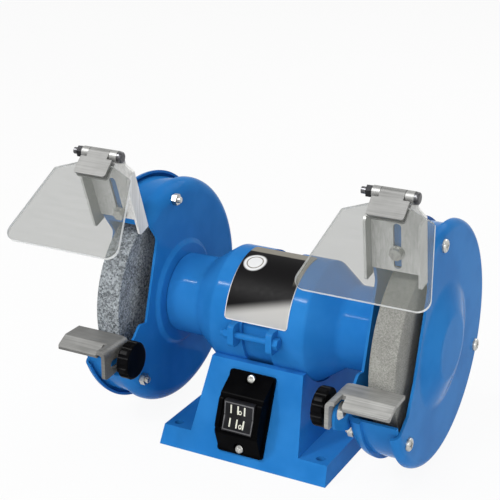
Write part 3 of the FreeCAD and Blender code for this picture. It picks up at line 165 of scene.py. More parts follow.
class Board:
    """Node tree of one material or of the world."""

    # Sockets of a Mix node that carry colours
    MIX_FIRST, MIX_SECOND, MIX_COLOUR = 6, 7, 2

    def __init__(self, owner: Union[bpy.types.Material, bpy.types.World]) -> None:
        """Start with an empty tree.

        Args:
            owner: Material or world whose nodes are made.
        """
        owner.use_nodes = True
        self.owner = owner
        self.tree = owner.node_tree
        self.tree.nodes.clear()

    def node(self, kind: str, settings: Optional[Dict[str, Any]] = None,
             inputs: Optional[Dict[Union[str, int], Any]] = None) -> bpy.types.Node:
        """Make any node, set it up and feed its sockets.

        Args:
            kind: Node type without its ShaderNode prefix.
            settings: Properties that are set first.
            inputs: Values or wires by socket name or number.

        Returns:
            The new node.
        """
        made = self.tree.nodes.new("ShaderNode" + kind)
        for key, value in (settings or {}).items():
            setattr(made, key, value)
        for key, value in (inputs or {}).items():
            if isinstance(value, Wire):
                self.tree.links.new(value.socket, made.inputs[key])
            else:
                made.inputs[key].default_value = value
        return made

    def wire(self, made: bpy.types.Node, output: Union[str, int] = 0) -> Wire:
        """One of a node's outputs, ready for arithmetic."""
        return Wire(self, made.outputs[output])

    def maths(self, operation: str, *values: Value) -> Wire:
        """Result of one Math node."""
        made = self.node("Math", {"operation": operation}, dict(enumerate(values)))
        return self.wire(made)

    def place(self) -> Wire:
        """Position on the piece, in its own axes."""
        return self.wire(self.node("TexCoord"), "Object")

    def facing(self) -> Wire:
        """Direction that the surface faces, in the piece's own axes."""
        return self.wire(self.node("TexCoord"), "Normal")

    def stretched(self, scale: Sequence[float]) -> Wire:
        """Position multiplied along each axis."""
        return self.wire(self.node("Mapping", {}, {"Vector": self.place(), "Scale": tuple(scale)}))

    def parts(self, vector: Wire) -> Tuple[Wire, Wire, Wire]:
        """The three parts of a vector."""
        made = self.node("SeparateXYZ", {}, {0: vector})
        return self.wire(made, 0), self.wire(made, 1), self.wire(made, 2)

    def dot(self, vector: Wire, direction: Sequence[float]) -> Wire:
        """Length of a vector along a fixed direction."""
        made = self.node("VectorMath", {"operation": "DOT_PRODUCT"}, {0: vector, 1: tuple(direction)})
        return self.wire(made, "Value")

    def noise(self, scale: float, detail: float = 2.0, vector: Optional[Wire] = None) -> Wire:
        """Soft noise from 0 to 1.

        Args:
            scale: Patches to the metre, or to the unit of the given vector.
            detail: Levels of finer noise.
            vector: Position to read, or the piece's own.

        Returns:
            The noise value.
        """
        inputs = {"Vector": vector or self.place(), "Scale": scale, "Detail": detail}
        return self.wire(self.node("TexNoise", {}, inputs))

    def grains(self, scale: float) -> Tuple[Wire, Wire]:
        """Packed grains.

        Args:
            scale: Grains to the metre.

        Returns:
            Distance from each grain's middle, and a shade for each grain.
        """
        made = self.node("TexVoronoi", {}, {"Vector": self.place(), "Scale": scale})
        shade = self.node("SeparateColor", {}, {0: self.wire(made, "Color")})
        return self.wire(made, "Distance"), self.wire(shade)

    def step(self, value: Value, low: float, high: float) -> Wire:
        """Smooth rise from 0 at low to 1 at high."""
        made = self.node("MapRange", {"interpolation_type": "SMOOTHSTEP"}, {0: value, 1: low, 2: high})
        return self.wire(made)

    def blend(self, share: Value, first: Any, second: Any) -> Wire:
        """Colour between two, by share of the second."""
        inputs = {0: share, self.MIX_FIRST: first, self.MIX_SECOND: second}
        return self.wire(self.node("Mix", {"data_type": "RGBA"}, inputs), self.MIX_COLOUR)

    def bump(self, height: Wire, strength: float, distance: float) -> Wire:
        """Small relief from a height."""
        made = self.node("Bump", {}, {"Height": height, "Strength": strength, "Distance": distance})
        return self.wire(made)

    def surface(self, shader: bpy.types.Node) -> None:
        """Send a shader to the output."""
        kind = "OutputWorld" if isinstance(self.owner, bpy.types.World) else "OutputMaterial"
        self.node(kind, {}, {0: self.wire(shader)})

    def principled(self, inputs: Dict[str, Any]) -> None:
        """Main shader with its sockets fed, sent to the output."""
        self.surface(self.node("BsdfPrincipled", {}, inputs))


@dataclass(frozen=True)
class Finish:
    """A surface finish that can make its own material."""

    name: str

    def material(self) -> bpy.types.Material:
        """Make the material.

        Returns:
            The new material with its nodes.
        """
        made = bpy.data.materials.new(self.name)
        self.paint(Board(made))
        return made

    def paint(self, board: Board) -> None:
        """Lay out the nodes on a board."""
        raise NotImplementedError


@dataclass(frozen=True)
class Enamel(Finish):
    """Glossy sprayed paint with a light orange peel."""

    deep: Colour
    light: Colour
    roughness: float = 0.09
    roughness_spread: float = 0.08
    cloud_scale: float = 28
    cloud_span: Span = (0.32, 0.68)
    peel_scale: float = 330
    peel: float = 0.04
    peel_depth: float = 0.6 * MM
    clear_gloss: float = 1.07

    def paint(self, board: Board) -> None:
        """Uneven depth of colour, peel relief and a clear gloss.

        Args:
            board: Board that the nodes go on.
        """
        cloud = board.noise(self.cloud_scale, detail=3)
        peel = board.noise(self.peel_scale)
        board.principled({
            "Base Color": board.blend(board.step(cloud, *self.cloud_span), self.deep, self.light),
            "Roughness": cloud.around(self.roughness, self.roughness_spread),
            "IOR": self.clear_gloss,
            "Normal": board.bump(peel, self.peel, self.peel_depth)})


@dataclass(frozen=True)
class Metal(Finish):
    """Bare or plated metal, plain or brushed."""

    colour: Colour
    shade: Colour
    roughness: float
    brushed: Optional[Axis] = None
    metallic: float = 1.0
    roughness_spread: float = 0.22
    relief: float = 0.05
    relief_depth: float = 0.3 * MM
    blotch_scale: float = 520
    cloud_scale: float = 60
    streak_share: float = 0.6
    shade_span: Span = (0.3, 0.7)

    def streaks(self, board: Board) -> Wire:
        """Noise drawn out along the brushing, or small blotches without it.

        Args:
            board: Board that the nodes go on.

        Returns:
            The noise value.
        """
        if self.brushed:
            return board.noise(1.0, detail=3, vector=board.stretched(self.brushed.value))
        return board.noise(self.blotch_scale, detail=3)

    def shine(self, board: Board, colour: Wire, streak: Wire) -> None:
        """Metal of a colour, with streaks in its gloss and relief.

        Args:
            board: Board that the nodes go on.
            colour: Colour of the metal.
            streak: Noise of the streaks.
        """
        board.principled({
            "Base Color": colour, "Metallic": self.metallic,
            "Roughness": streak.around(self.roughness, self.roughness_spread),
            "Normal": board.bump(streak, self.relief, self.relief_depth)})

    def paint(self, board: Board) -> None:
        """Streaks or small blotches in colour, gloss and relief.

        Args:
            board: Board that the nodes go on.
        """
        streak = self.streaks(board)
        cloud = board.noise(self.cloud_scale)
        mixed = self.streak_share * streak + (1 - self.streak_share) * cloud
        share = board.step(mixed, *self.shade_span)
        self.shine(board, board.blend(share, self.shade, self.colour), streak)


@dataclass(frozen=True)
class CurledSheet(Metal):
    """Bright sheet with painted shade on its curled top and a painted dark reflection on the inner faces of
    one side.
    """

    # Grey of the painted shade on the curl and of the painted dark reflection inside the left side
    painted_shade_tone: Colour = (0.3, 0.3, 0.3, 1.0)
    curl: float = 0.0
    middle: float = 0.0
    fade: float = 3.0 * MM
    inward_reflection_span: Span = (0.6, 0.9)

    def paint(self, board: Board) -> None:
        """Streaks along the sheet, with painted shade from the curl upwards and a painted dark reflection
        on the faces inside the left side.

        Args:
            board: Board that the nodes go on.
        """
        streak = self.streaks(board)
        bright = board.blend(board.step(streak, *self.shade_span), self.shade, self.colour)
        across, _, height = board.parts(board.place())
        # Painted shade from the curl upwards, and a painted dark reflection on the left side's faces that
        # face +X
        curl_painted_shade = board.step(height, self.curl - self.fade, self.curl)
        left = 1 - board.step(across, self.middle - self.fade, self.middle)
        inward_painted_reflection = board.step(board.dot(board.facing(), (1.0, 0.0, 0.0)), *self.inward_reflection_span)
        painted_shade = curl_painted_shade.at_least(left * inward_painted_reflection)
        self.shine(board, board.blend(painted_shade, bright, self.painted_shade_tone), streak)


@dataclass(frozen=True)
class Moulded(Finish):
    """Moulded plastic, rubber or card with a fine skin."""

    colour: Colour
    light: Colour
    roughness: float = 0.45
    grain: float = 1400
    relief: float = 0.12
    relief_depth: float = 0.2 * MM
    gloss: float = 1.25
    roughness_spread: float = 0.15
    cloud_scale: float = 70
    cloud_span: Span = (0.3, 0.75)

    def paint(self, board: Board) -> None:
        """Fine skin relief and slightly uneven gloss.

        Args:
            board: Board that the nodes go on.
        """
        skin = board.noise(self.grain)
        cloud = board.noise(self.cloud_scale)
        board.principled({
            "Base Color": board.blend(board.step(cloud, *self.cloud_span), self.colour, self.light),
            "Roughness": cloud.around(self.roughness, self.roughness_spread),
            "IOR": self.gloss,
            "Normal": board.bump(skin, self.relief, self.relief_depth)})


@dataclass(frozen=True)
class Abrasive(Finish):
    """Bonded grinding wheel with packed grains."""

    dark: Colour
    pale: Colour
    grain: float
    relief: float
    relief_depth: float = 1.2 * MM
    roughness: float = 0.82
    roughness_spread: float = 0.15
    load_scale: float = 45
    load_share: float = 0.25
    load_span: Span = (0.3, 0.7)
    pore_scale: float = 0.6
    pore_share: float = 0.5
    pore_span: Span = (0.58, 0.75)

    def paint(self, board: Board) -> None:
        """Grains of many greys, darker pores and loading patches.

        Args:
            board: Board that the nodes go on.
        """
        distance, shade = board.grains(self.grain)
        load = board.step(board.noise(self.load_scale, detail=4), *self.load_span)
        pores = board.step(board.noise(self.grain * self.pore_scale), *self.pore_span)
        share = (1 - self.load_share) * shade + self.load_share * load - self.pore_share * pores
        board.principled({
            "Base Color": board.blend(share.at_least(0.0).at_most(1.0), self.dark, self.pale),
            "Roughness": shade.around(self.roughness, self.roughness_spread),
            "Normal": board.bump(distance, self.relief, self.relief_depth)})


@dataclass(frozen=True)
class ClearSheet(Finish):
    """Clear plastic sheet whose sawn edges catch the light."""

    tint: Colour
    edge: Colour
    tilt_deg: float
    rim_span: Span = (0.35, 0.8)
    wipe_stretch: Point = (40.0, 300.0, 300.0)
    roughness: float = 0.04
    wipe_roughness: float = 0.04
    rim_roughness: float = 0.3
    cover: float = 0.3
    wipe_cover: float = 0.05
    rim_cover: float = 0.5
    shadow_lost: float = 0.75
    gloss: float = 1.49
    gloss_level: float = 0.35

    def paint(self, board: Board) -> None:
        """See-through faces that cast little shade, with faint wipe marks, and pale edges.

        Args:
            board: Board that the nodes go on.
        """
        tilt = math.radians(self.tilt_deg)
        across = (0.0, -math.cos(tilt), math.sin(tilt))
        rim = 1 - board.step(abs(board.dot(board.facing(), across)), *self.rim_span)
        wipes = board.noise(1.0, detail=3, vector=board.stretched(self.wipe_stretch))
        shadow = board.wire(board.node("LightPath"), "Is Shadow Ray")
        cover = self.cover + self.wipe_cover * wipes + self.rim_cover * rim
        board.principled({
            "Base Color": board.blend(rim, self.tint, self.edge),
            "Roughness": self.roughness + self.wipe_roughness * wipes + self.rim_roughness * rim,
            "Alpha": cover * (1 - self.shadow_lost * shadow),
            "IOR": self.gloss, "Specular IOR Level": self.gloss_level})


@dataclass(frozen=True)
class LabelPrint(Finish):
    """Plain motor label: dark above, silver below, with a pale spot and no words."""

    dark: Colour
    silver: Colour
    strip: Colour
    white: Colour
    drum: float = 47.5 * MM
    half_width: float = 26.3 * MM
    low_deg: float = 8.0
    high_deg: float = 97.0
    fade_left_deg: float = 15.5
    fade_right_deg: float = 33.0
    fade_half_deg: float = 6.0
    top_strip_deg: Span = (-13.0, -11.5)
    side_strip: Span = (-4.4 * MM, -3.8 * MM)
    side_strip_deg: Span = (48.0, 60.0)
    spot_x: float = -15.5 * MM
    spot_deg: float = 68.0
    spot_radius: float = 9.6 * MM
    spot_fade: float = 1.6 * MM
    ring_radius: float = 6.2 * MM
    ring_line: float = 0.6 * MM
    low_edge_deg: Span = (1.4, 0.8)
    side_edge: Span = (-0.7 * MM, -0.4 * MM)
    side_edge_deg: Span = (75.0, 25.0)
    sheen_scale: float = 300
    sheen_relief: float = 0.04
    sheen_depth: float = 0.2 * MM
    roughness: float = 0.42
    sheen_roughness: float = 0.12
    gloss_level: float = 0.05

    def paint(self, board: Board) -> None:
        """Fade along a slanting line, strips at the top and right, a ringed spot and a thin white edge.

        Args:
            board: Board that the nodes go on.
        """
        def beyond(value: Wire, limit: float, span: Span) -> Wire:
            """Rise from 0 to 1 over a span that is counted from a limit."""
            return board.step(value, limit + span[0], limit + span[1])

        x, y, z = board.parts(board.place())
        angle = board.maths("ARCTAN2", z - SPINDLE_HEIGHT, -y) * (180 / math.pi)
        across = (x + self.half_width) / (2 * self.half_width)
        rise = angle - (self.fade_left_deg + (self.fade_right_deg - self.fade_left_deg) * across)
        faded = board.step(rise, -self.fade_half_deg, self.fade_half_deg)
        body = board.blend(faded, self.silver, self.dark)
        top = beyond(angle, self.high_deg, self.top_strip_deg)
        side = beyond(x, self.half_width, self.side_strip) * board.step(angle, *self.side_strip_deg)
        body = board.blend(top.at_least(side), body, self.strip)
        arc = (angle - self.spot_deg) * (math.pi / 180 * self.drum)
        away = board.maths("SQRT", (x - self.spot_x) * (x - self.spot_x) + arc * arc)
        spot = board.step(away, self.spot_radius, self.spot_radius - self.spot_fade)
        body = board.blend(spot, body, self.white)
        ring = board.step(abs(away - self.ring_radius), self.ring_line, self.ring_line / 2)
        body = board.blend(ring, body, self.strip)
        low_edge = beyond(angle, self.low_deg, self.low_edge_deg)
        side_edge = beyond(abs(x), self.half_width, self.side_edge) * board.step(angle, *self.side_edge_deg)
        sheen = board.noise(self.sheen_scale)
        board.principled({
            "Base Color": board.blend(low_edge.at_least(side_edge), body, self.white),
            "Roughness": self.roughness + self.sheen_roughness * sheen,
            "Specular IOR Level": self.gloss_level,
            "Normal": board.bump(sheen, self.sheen_relief, self.sheen_depth)})


# Finishes of this grinder
BLUE = Enamel("blue_enamel", tone(36, 116, 188), tone(46, 127, 199))
ZINC = Metal("zinc_plate", tone(205, 205, 200), tone(150, 150, 148), 0.32)
BRUSHED = Metal("brushed_rest", tone(162, 162, 159), tone(130, 130, 128), 0.52, Axis.ALONG_X, 0.6)
# Darker copy of the rest steel for the left rest: painted shade, because that rest takes more light
SHADED_LEFT_REST = Metal("left_rest_painted_shade", tone(124, 124, 122), tone(98, 98, 96), 0.54, Axis.ALONG_X, 0.6)
PRESSED = Metal("pressed_leaf", tone(142, 142, 140), tone(110, 110, 108), 0.6, Axis.ALONG_X, 0.2)
DARK_BOLT = Metal("dark_bolt", tone(104, 104, 106), tone(58, 58, 60), 0.36, None, 0.9)
BLACKED = Metal("blacked_steel", tone(46, 46, 48), tone(24, 24, 26), 0.42, None, 0.8)
TURNED = Metal("turned_steel", tone(200, 200, 198), tone(150, 150, 148), 0.26, Axis.ALONG_X)
BEARING = Metal("bearing_steel", tone(210, 210, 210), tone(170, 170, 170), 0.18)
LAMINATED = Metal("laminations", tone(120, 118, 112), tone(80, 78, 74), 0.45)
COPPER = Metal("winding_wire", tone(176, 96, 52), tone(120, 58, 30), 0.35)
CAN = Metal("capacitor_can", tone(200, 200, 202), tone(160, 160, 162), 0.3)
KNOB = Moulded("knob_plastic", tone(6, 6, 7), tone(12, 12, 14), 0.36, gloss=1.1)
SWITCH = Moulded("switch_plastic", tone(4, 4, 5), tone(8, 8, 9), 0.36, gloss=1.06)
ROCKER = Moulded("rocker_plastic", tone(26, 26, 28), tone(44, 44, 47), 0.38, gloss=1.15)
# Grey of the raised lines round the rocker: a painted highlight on the rocker's bevelled edges
ROCKER_EDGE_HIGHLIGHT = Moulded("rocker_edge_painted_highlight", tone(88, 88, 90), tone(112, 112, 114), 0.4)
PALE_MARK = Moulded("pale_mark", tone(222, 222, 206), tone(240, 240, 228), 0.4)
BLOCK = Moulded("switch_block_plastic", tone(34, 34, 36), tone(52, 52, 54), 0.5)
RUBBER = Moulded("grommet_rubber", tone(20, 20, 20), tone(34, 34, 34), 0.7)
PAPER = Moulded("blotter_paper", tone(150, 130, 96), tone(186, 166, 128), 0.85, 600)
COARSE = Abrasive("coarse_abrasive", tone(60, 66, 70), tone(182, 189, 194), 780, 0.6)
FINE = Abrasive("fine_abrasive", tone(116, 116, 111), tone(166, 166, 160), 1600, 0.35)
CLEAR = ClearSheet("clear_sheet", tone(116, 119, 114), tone(236, 238, 237), 47.0)
LABEL = LabelPrint(
    "label_print", tone(12, 11, 12), tone(188, 187, 184), tone(140, 136, 126), tone(228, 228, 228))

CURL_DEPTH = 9.2 * MM


def bracket_sheet(bracket: str) -> CurledSheet:
    """Finish of one spark guard's sheet.

    Args:
        bracket: Node of the spark guard.

    Returns:
        The finish, with its curl and its middle at that guard's place.
    """
    low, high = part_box(bracket)
    return CurledSheet(
        # The 142 grey is painted shade on the curl and a painted dark reflection inside the left side
        bracket + "_sheet", tone(232, 232, 230), tone(206, 206, 204), 0.46, Axis.ALONG_Z, 0.4,
        painted_shade_tone=tone(142, 142, 140), curl=high[2] - CURL_DEPTH, middle=0.5 * (low[0] + high[0]))


SLOT_FINISH: Dict[str, Finish] = {
    "blue_paint": BLUE, "zinc_steel": ZINC, "bracket_steel": PRESSED, "rest_steel": BRUSHED,
    "black_steel": BLACKED, "knob_black": KNOB, "switch_black": SWITCH, "rocker_black": ROCKER,
    "switch_block": BLOCK, "clear_shield": CLEAR, "coarse_wheel": COARSE, "fine_wheel": FINE,
    "turned_steel": TURNED, "bearing_steel": BEARING, "laminations": LAMINATED, "winding": COPPER,
    "blotter": PAPER, "label": LABEL, "capacitor_can": CAN, "rubber": RUBBER}
NODE_FINISH: Dict[str, Finish] = {
    "left_shield_bolt": DARK_BOLT, "right_shield_bolt": DARK_BOLT, "left_tool_rest": SHADED_LEFT_REST,
    "left_spark_guard": bracket_sheet("left_spark_guard"),
    "right_spark_guard": bracket_sheet("right_spark_guard")}


class PaintShop:
    """Makes each material once and puts it on solids and pieces."""

    def __init__(self) -> None:
        """Start with no materials made."""
        self.made: Dict[str, bpy.types.Material] = {}

    def material(self, finish: Finish) -> bpy.types.Material:
        """Material of a finish, made when it is first asked for.

        Args:
            finish: Finish to look up.

        Returns:
            The finish's one material.
        """
        if finish.name not in self.made:
            self.made[finish.name] = finish.material()
        return self.made[finish.name]

    def coat(self, piece: bpy.types.Object, finish: Finish) -> None:
        """Give a piece one finish all over.

        Args:
            piece: Solid or new piece.
            finish: Finish that it gets.
        """
        if not piece.material_slots:
            piece.data.materials.append(None)
        for slot in piece.material_slots:
            slot.material = self.material(finish)

    def coat_solids(self) -> None:
        """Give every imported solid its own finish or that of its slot."""
        for row in frame["record"]["subparts"]:
            finish = NODE_FINISH.get(row["node"], SLOT_FINISH[row["material_slot"]])
            self.coat(frame["nodes"][row["node"]], finish)
            LOG.info("solid %s: %s", row["node"], finish.name)

    def fit(self, piece: bpy.types.Object, finish: Finish, body: Ride) -> None:
        """Coat a new piece and let it ride on its body.

        Args:
            piece: New piece.
            finish: Finish that it gets.
            body: Body that it moves with.
        """
        self.coat(piece, finish)
        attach(piece, body.value)
        LOG.info("piece %s on %s", piece.name, body.value)


class Bench:
    """Modelling steps shared by the new pieces."""

    SAME_HEIGHT = 1e-6
    BAR_STEPS = 3
    RING_SIDES, RING_WIRE_SIDES = 28, 8
    RING_STRETCH: Point = (1.0, 1.25, 0.6)
    SMOOTH_DEG = 35

    @staticmethod
    def clear() -> None:
        """Select nothing."""
        bpy.ops.object.select_all(action="DESELECT")

    @staticmethod
    def settle() -> None:
        """Put the selected piece's place, turn and scale into its mesh."""
        bpy.ops.object.transform_apply(location=True, rotation=True, scale=True)

    @classmethod
    def rim_edges(cls, piece: bpy.types.Object, height: float) -> None:
        """Leave only the edges at one height selected, in edit mode.

        Args:
            piece: Piece to work on.
            height: Height of the edges in the piece's own axes.
        """
        bpy.ops.object.mode_set(mode="EDIT")
        bpy.ops.mesh.select_mode(type="EDGE")
        bpy.ops.mesh.select_all(action="DESELECT")
        bpy.ops.object.mode_set(mode="OBJECT")
        points = piece.data.vertices
        for edge in piece.data.edges:
            edge.select = all(abs(points[i].co.z - height) < cls.SAME_HEIGHT for i in edge.vertices)
        bpy.ops.object.mode_set(mode="EDIT")

    @classmethod
    def bar(cls, name: str, size: Sequence[float], middle: Sequence[float],
            round_off: float) -> bpy.types.Object:
        """Bar with rounded edges.

        Args:
            name: Name of the piece.
            size: Length along each axis.
            middle: Middle of the bar.
            round_off: Width of the rounded edges.

        Returns:
            The new piece with its place in its mesh.
        """
        cls.clear()
        bpy.ops.mesh.primitive_cube_add(size=1.0, location=tuple(middle), scale=tuple(size))
        piece = bpy.context.object
        piece.name = name
        cls.settle()
        bpy.ops.object.mode_set(mode="EDIT")
        bpy.ops.mesh.select_all(action="SELECT")
        bpy.ops.mesh.bevel(offset=round_off, segments=cls.BAR_STEPS, affect="EDGES")
        bpy.ops.object.mode_set(mode="OBJECT")
        return piece

    @classmethod
    def ring(cls, name: str, radius: float, wire: float, middle: Sequence[float]) -> bpy.types.Object:
        """Flattened ring lying in the XY plane.

        Args:
            name: Name of the piece.
            radius: Radius of the ring before it is stretched.
            wire: Radius of the ring's section.
            middle: Middle of the ring.

        Returns:
            The new piece with its place in its mesh.
        """
        cls.clear()
        bpy.ops.mesh.primitive_torus_add(
            location=tuple(middle), major_radius=radius, minor_radius=wire,
            major_segments=cls.RING_SIDES, minor_segments=cls.RING_WIRE_SIDES)
        piece = bpy.context.object
        piece.name = name
        bpy.ops.object.mode_set(mode="EDIT")
        bpy.ops.mesh.select_all(action="SELECT")
        bpy.ops.transform.resize(value=cls.RING_STRETCH, center_override=tuple(middle))
        bpy.ops.object.mode_set(mode="OBJECT")
        cls.settle()
        return piece

    @classmethod
    def rod(cls, radius: float, reach: float, sides: int, round_off: float,
            steps: int) -> bpy.types.Object:
        """Upright rod from the origin, rounded at its far end.

        Args:
            radius: Radius of the rod.
            reach: Height of its far end, below the origin where negative.
            sides: Number of flat sides.
            round_off: Width of the rounded end.
            steps: Number of steps in the rounded end.

        Returns:
            The new rod.
        """
        cls.clear()
        bpy.ops.mesh.primitive_cylinder_add(
            vertices=sides, radius=radius, depth=abs(reach), location=(0, 0, reach / 2))
        piece = bpy.context.object
        cls.settle()
        cls.rim_edges(piece, reach)
        bpy.ops.mesh.bevel(offset=round_off, segments=steps, affect="EDGES")
        bpy.ops.object.mode_set(mode="OBJECT")
        return piece

    @staticmethod
    def cut(piece: bpy.types.Object, tool: bpy.types.Object) -> None:
        """Cut a tool's shape out of a piece, and remove the tool.

        Args:
            piece: Piece that is cut.
            tool: Shape that is taken away.
        """
        recess = piece.modifiers.new("recess", "BOOLEAN")
        recess.operation = "DIFFERENCE"
        recess.solver = "EXACT"
        recess.object = tool
        bpy.context.view_layer.objects.active = piece
        bpy.ops.object.modifier_apply(modifier=recess.name)
        bpy.data.objects.remove(tool)

    @classmethod
    def joined(cls, name: str, pieces: Sequence[bpy.types.Object]) -> bpy.types.Object:
        """Join pieces into one and smooth its round faces.

        Args:
            name: Name of the joined piece.
            pieces: Pieces to join.

        Returns:
            The joined piece.
        """
        cls.clear()
        for piece in pieces:
            piece.select_set(True)
        bpy.context.view_layer.objects.active = pieces[0]
        bpy.ops.object.join()
        made = bpy.context.object
        made.name = name
        bpy.ops.object.shade_smooth_by_angle(angle=math.radians(cls.SMOOTH_DEG))
        return made

    @classmethod
    def placed(cls, piece: bpy.types.Object, where: Matrix) -> bpy.types.Object:
        """Move a piece and put its place into its mesh.

        Args:
            piece: Piece to move.
            where: Place and turn that it gets.

        Returns:
            The same piece.
        """
        cls.clear()
        piece.select_set(True)
        bpy.context.view_layer.objects.active = piece
        piece.matrix_world = where
        cls.settle()
        return piece

    @classmethod
    def copies(cls, name: str, model: bpy.types.Object, places: Sequence[Matrix]) -> bpy.types.Object:
        """Copy a model to several places as one piece, each copy with its own mesh.

        Args:
            name: Name of the piece.
            model: Piece to copy, which is then removed.
            places: Where each copy goes.

        Returns:
            The piece with all copies.
        """
        made: List[bpy.types.Object] = []
        for where in places:
            copy = model.copy()
            copy.data = model.data.copy()
            bpy.context.scene.collection.objects.link(copy)
            made.append(cls.placed(copy, where))
        bpy.data.objects.remove(model)
        return cls.joined(name, made)


@dataclass(frozen=True)
class PanScrew:
    """Pan-head screw with a cross recess, its seat at the origin and its head up."""

    head: float
    height: float
    shank: float
    length: float
    head_sides: int = 40
    shank_sides: int = 24
    crown: float = 0.6
    crown_steps: int = 5
    tip: float = 0.3
    tip_steps: int = 2
    recess_deep: float = 0.7
    recess_long: float = 1.15
    recess_wide: float = 0.27
    recess_round: float = 0.05

    def build(self) -> bpy.types.Object:
        """Model the screw.

        Returns:
            The new screw.
        """
        top = Bench.rod(self.head, self.height, self.head_sides, self.height * self.crown, self.crown_steps)
        long, wide = self.head * self.recess_long, self.head * self.recess_wide
        deep = self.height * self.recess_deep
        arms = [Bench.bar("arm", size, (0, 0, self.height), self.head * self.recess_round)
                for size in ((long, wide, deep), (wide, long, deep))]
        for arm in arms:
            Bench.cut(top, arm)
        stem = Bench.rod(self.shank, -self.length, self.shank_sides, self.shank * self.tip, self.tip_steps)
        return Bench.joined("screw", [top, stem])


@dataclass
class SwitchPlate:
    """Trim of the rocker switch on the leaning front of the base."""

    middle: Point = (-1.0 * MM, -56.645 * MM, 36.8 * MM)
    lean_deg: float = 20.63
    pivot_v: float = -1.8 * MM
    face: float = 14.3 * MM
    swing_deg: float = 15.0
    half_width: float = 12.5 * MM
    bar_x: Tuple[float, ...] = (-6.6 * MM, -0.8 * MM, 4.8 * MM)
    bar_size: Point = (1.2 * MM, 6.8 * MM, 0.7 * MM)
    bar_v: float = 5.3 * MM
    bar_round: float = 0.25 * MM
    ring_x: Span = (1.0 * MM, 2.4 * MM)
    ring_radius: float = 1.1 * MM
    ring_wire: float = 0.32 * MM
    ring_drop: float = 1.6 * MM
    ring_lift: float = 0.05 * MM
    reach: Span = (11.0 * MM, 12.0 * MM)
    rim: float = 0.9 * MM
    rim_height: float = 0.5 * MM
    rim_round: float = 0.18 * MM
    rim_inset: float = 0.7 * MM
    side_short: float = 0.6 * MM
    end_short: float = 1.0 * MM
    screw: PanScrew = PanScrew(3.6 * MM, 2.2 * MM, 2.0 * MM, 14.5 * MM)
    screw_v: float = 26.7 * MM
    screw_seat: float = 2.5 * MM

    def local(self) -> Matrix:
        """Axes of the leaning front: X across, Y up the slope, Z outwards."""
        turn = Matrix.Rotation(math.radians(90 - self.lean_deg), 4, "X")
        return Matrix.Translation(self.middle) @ turn

    def half_face(self, half: Half) -> Matrix:
        """Axes of one half of the rocker, from its pivot line.

        Args:
            half: Half of the rocker; the upper one is raised.

        Returns:
            The half's axes, with Y up the half and Z outwards.
        """
        where = self.local() @ Matrix.Translation((0, self.pivot_v, self.face))
        if half is Half.UPPER:
            where = where @ Matrix.Rotation(math.radians(self.swing_deg), 4, "X")
        return where

    def marks(self, shop: PaintShop) -> None:
        """Six pale bars and two small rings on the rocker.

        Args:
            shop: Paint shop that coats them.
        """
        made: List[bpy.types.Object] = []
        for half, ring_x in zip(Half, self.ring_x):
            v = half.value * self.bar_v
            row = [Bench.bar("bar", self.bar_size, (x, v, 0.0), self.bar_round) for x in self.bar_x]
            spot = (ring_x, v - self.ring_drop, self.ring_lift)
            row.append(Bench.ring("ring", self.ring_radius, self.ring_wire, spot))
            made.append(Bench.placed(Bench.joined("row", row), self.half_face(half)))
        shop.fit(Bench.joined("rocker_marks", made), PALE_MARK, Ride.ROCKER)

    def edge_highlight_lines(self, shop: PaintShop) -> None:
        """Grey raised line round the rocker's faces, a painted highlight on its bevelled edges.

        Args:
            shop: Paint shop that coats it.
        """
        made: List[bpy.types.Object] = []
        for half, reach in zip(Half, self.reach):
            side = (self.rim, reach - self.side_short, self.rim_height)
            end = (2 * self.half_width - self.end_short, self.rim, self.rim_height)
            side_x, side_v = self.half_width - self.rim_inset, half.value * (reach / 2)
            lines = [Bench.bar("line", side, (x, side_v, 0.0), self.rim_round) for x in (-side_x, side_x)]
            end_v = half.value * (reach - self.rim)
            lines.append(Bench.bar("line", end, (0.0, end_v, 0.0), self.rim_round))
            made.append(Bench.placed(Bench.joined("half", lines), self.half_face(half)))
        shop.fit(Bench.joined("rocker_edge_highlight_lines", made), ROCKER_EDGE_HIGHLIGHT, Ride.ROCKER)

    def screws(self, shop: PaintShop) -> None:
        """Two pale cross-head screws in their pockets.

        Args:
            shop: Paint shop that coats them.
        """
        places = [self.local() @ Matrix.Translation((0, v, self.screw_seat))
                  for v in (-self.screw_v, self.screw_v)]
        piece = Bench.copies("switch_plate_screws", self.screw.build(), places)
        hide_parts("switch_screws")
        shop.fit(piece, ZINC, Ride.FRAME)

    def build(self, shop: PaintShop) -> None:
        """Make all the switch's trim.

        Args:
            shop: Paint shop that coats it.
        """
        self.marks(shop)
        self.edge_highlight_lines(shop)
        self.screws(shop)


@dataclass
class CoverScrews:
    """Cross-head screws that hold the two wheel covers."""

    seat: float = 131.0 * MM
    inner_end: float = 83.5 * MM
    circle: float = 82.0 * MM
    first_deg: float = 81.5
    count: int = 3
    head: float = 5.0 * MM
    head_height: float = 2.6 * MM
    shank: float = 2.5 * MM

    def places(self) -> List[Matrix]:
        """Where the screws sit, heads outwards.

        Returns:
            Place and turn of each screw.
        """
        found: List[Matrix] = []
        for side in (1, -1):
            for i in range(self.count):
                angle = math.radians(self.first_deg - 360 / self.count * i)
                spot = Vector((side * self.seat, -self.circle * math.cos(angle),
                               SPINDLE_HEIGHT + self.circle * math.sin(angle)))
                found.append(Matrix.Translation(spot) @ Matrix.Rotation(side * math.pi / 2, 4, "Y"))
        return found

    def build(self, shop: PaintShop) -> None:
        """Make the six screws.

        Args:
            shop: Paint shop that coats them.
        """
        screw = PanScrew(self.head, self.head_height, self.shank, self.seat - self.inner_end)
        piece = Bench.copies("wheel_cover_screws", screw.build(), self.places())
        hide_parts("cover_bolts")
        shop.fit(piece, ZINC, Ride.FRAME)


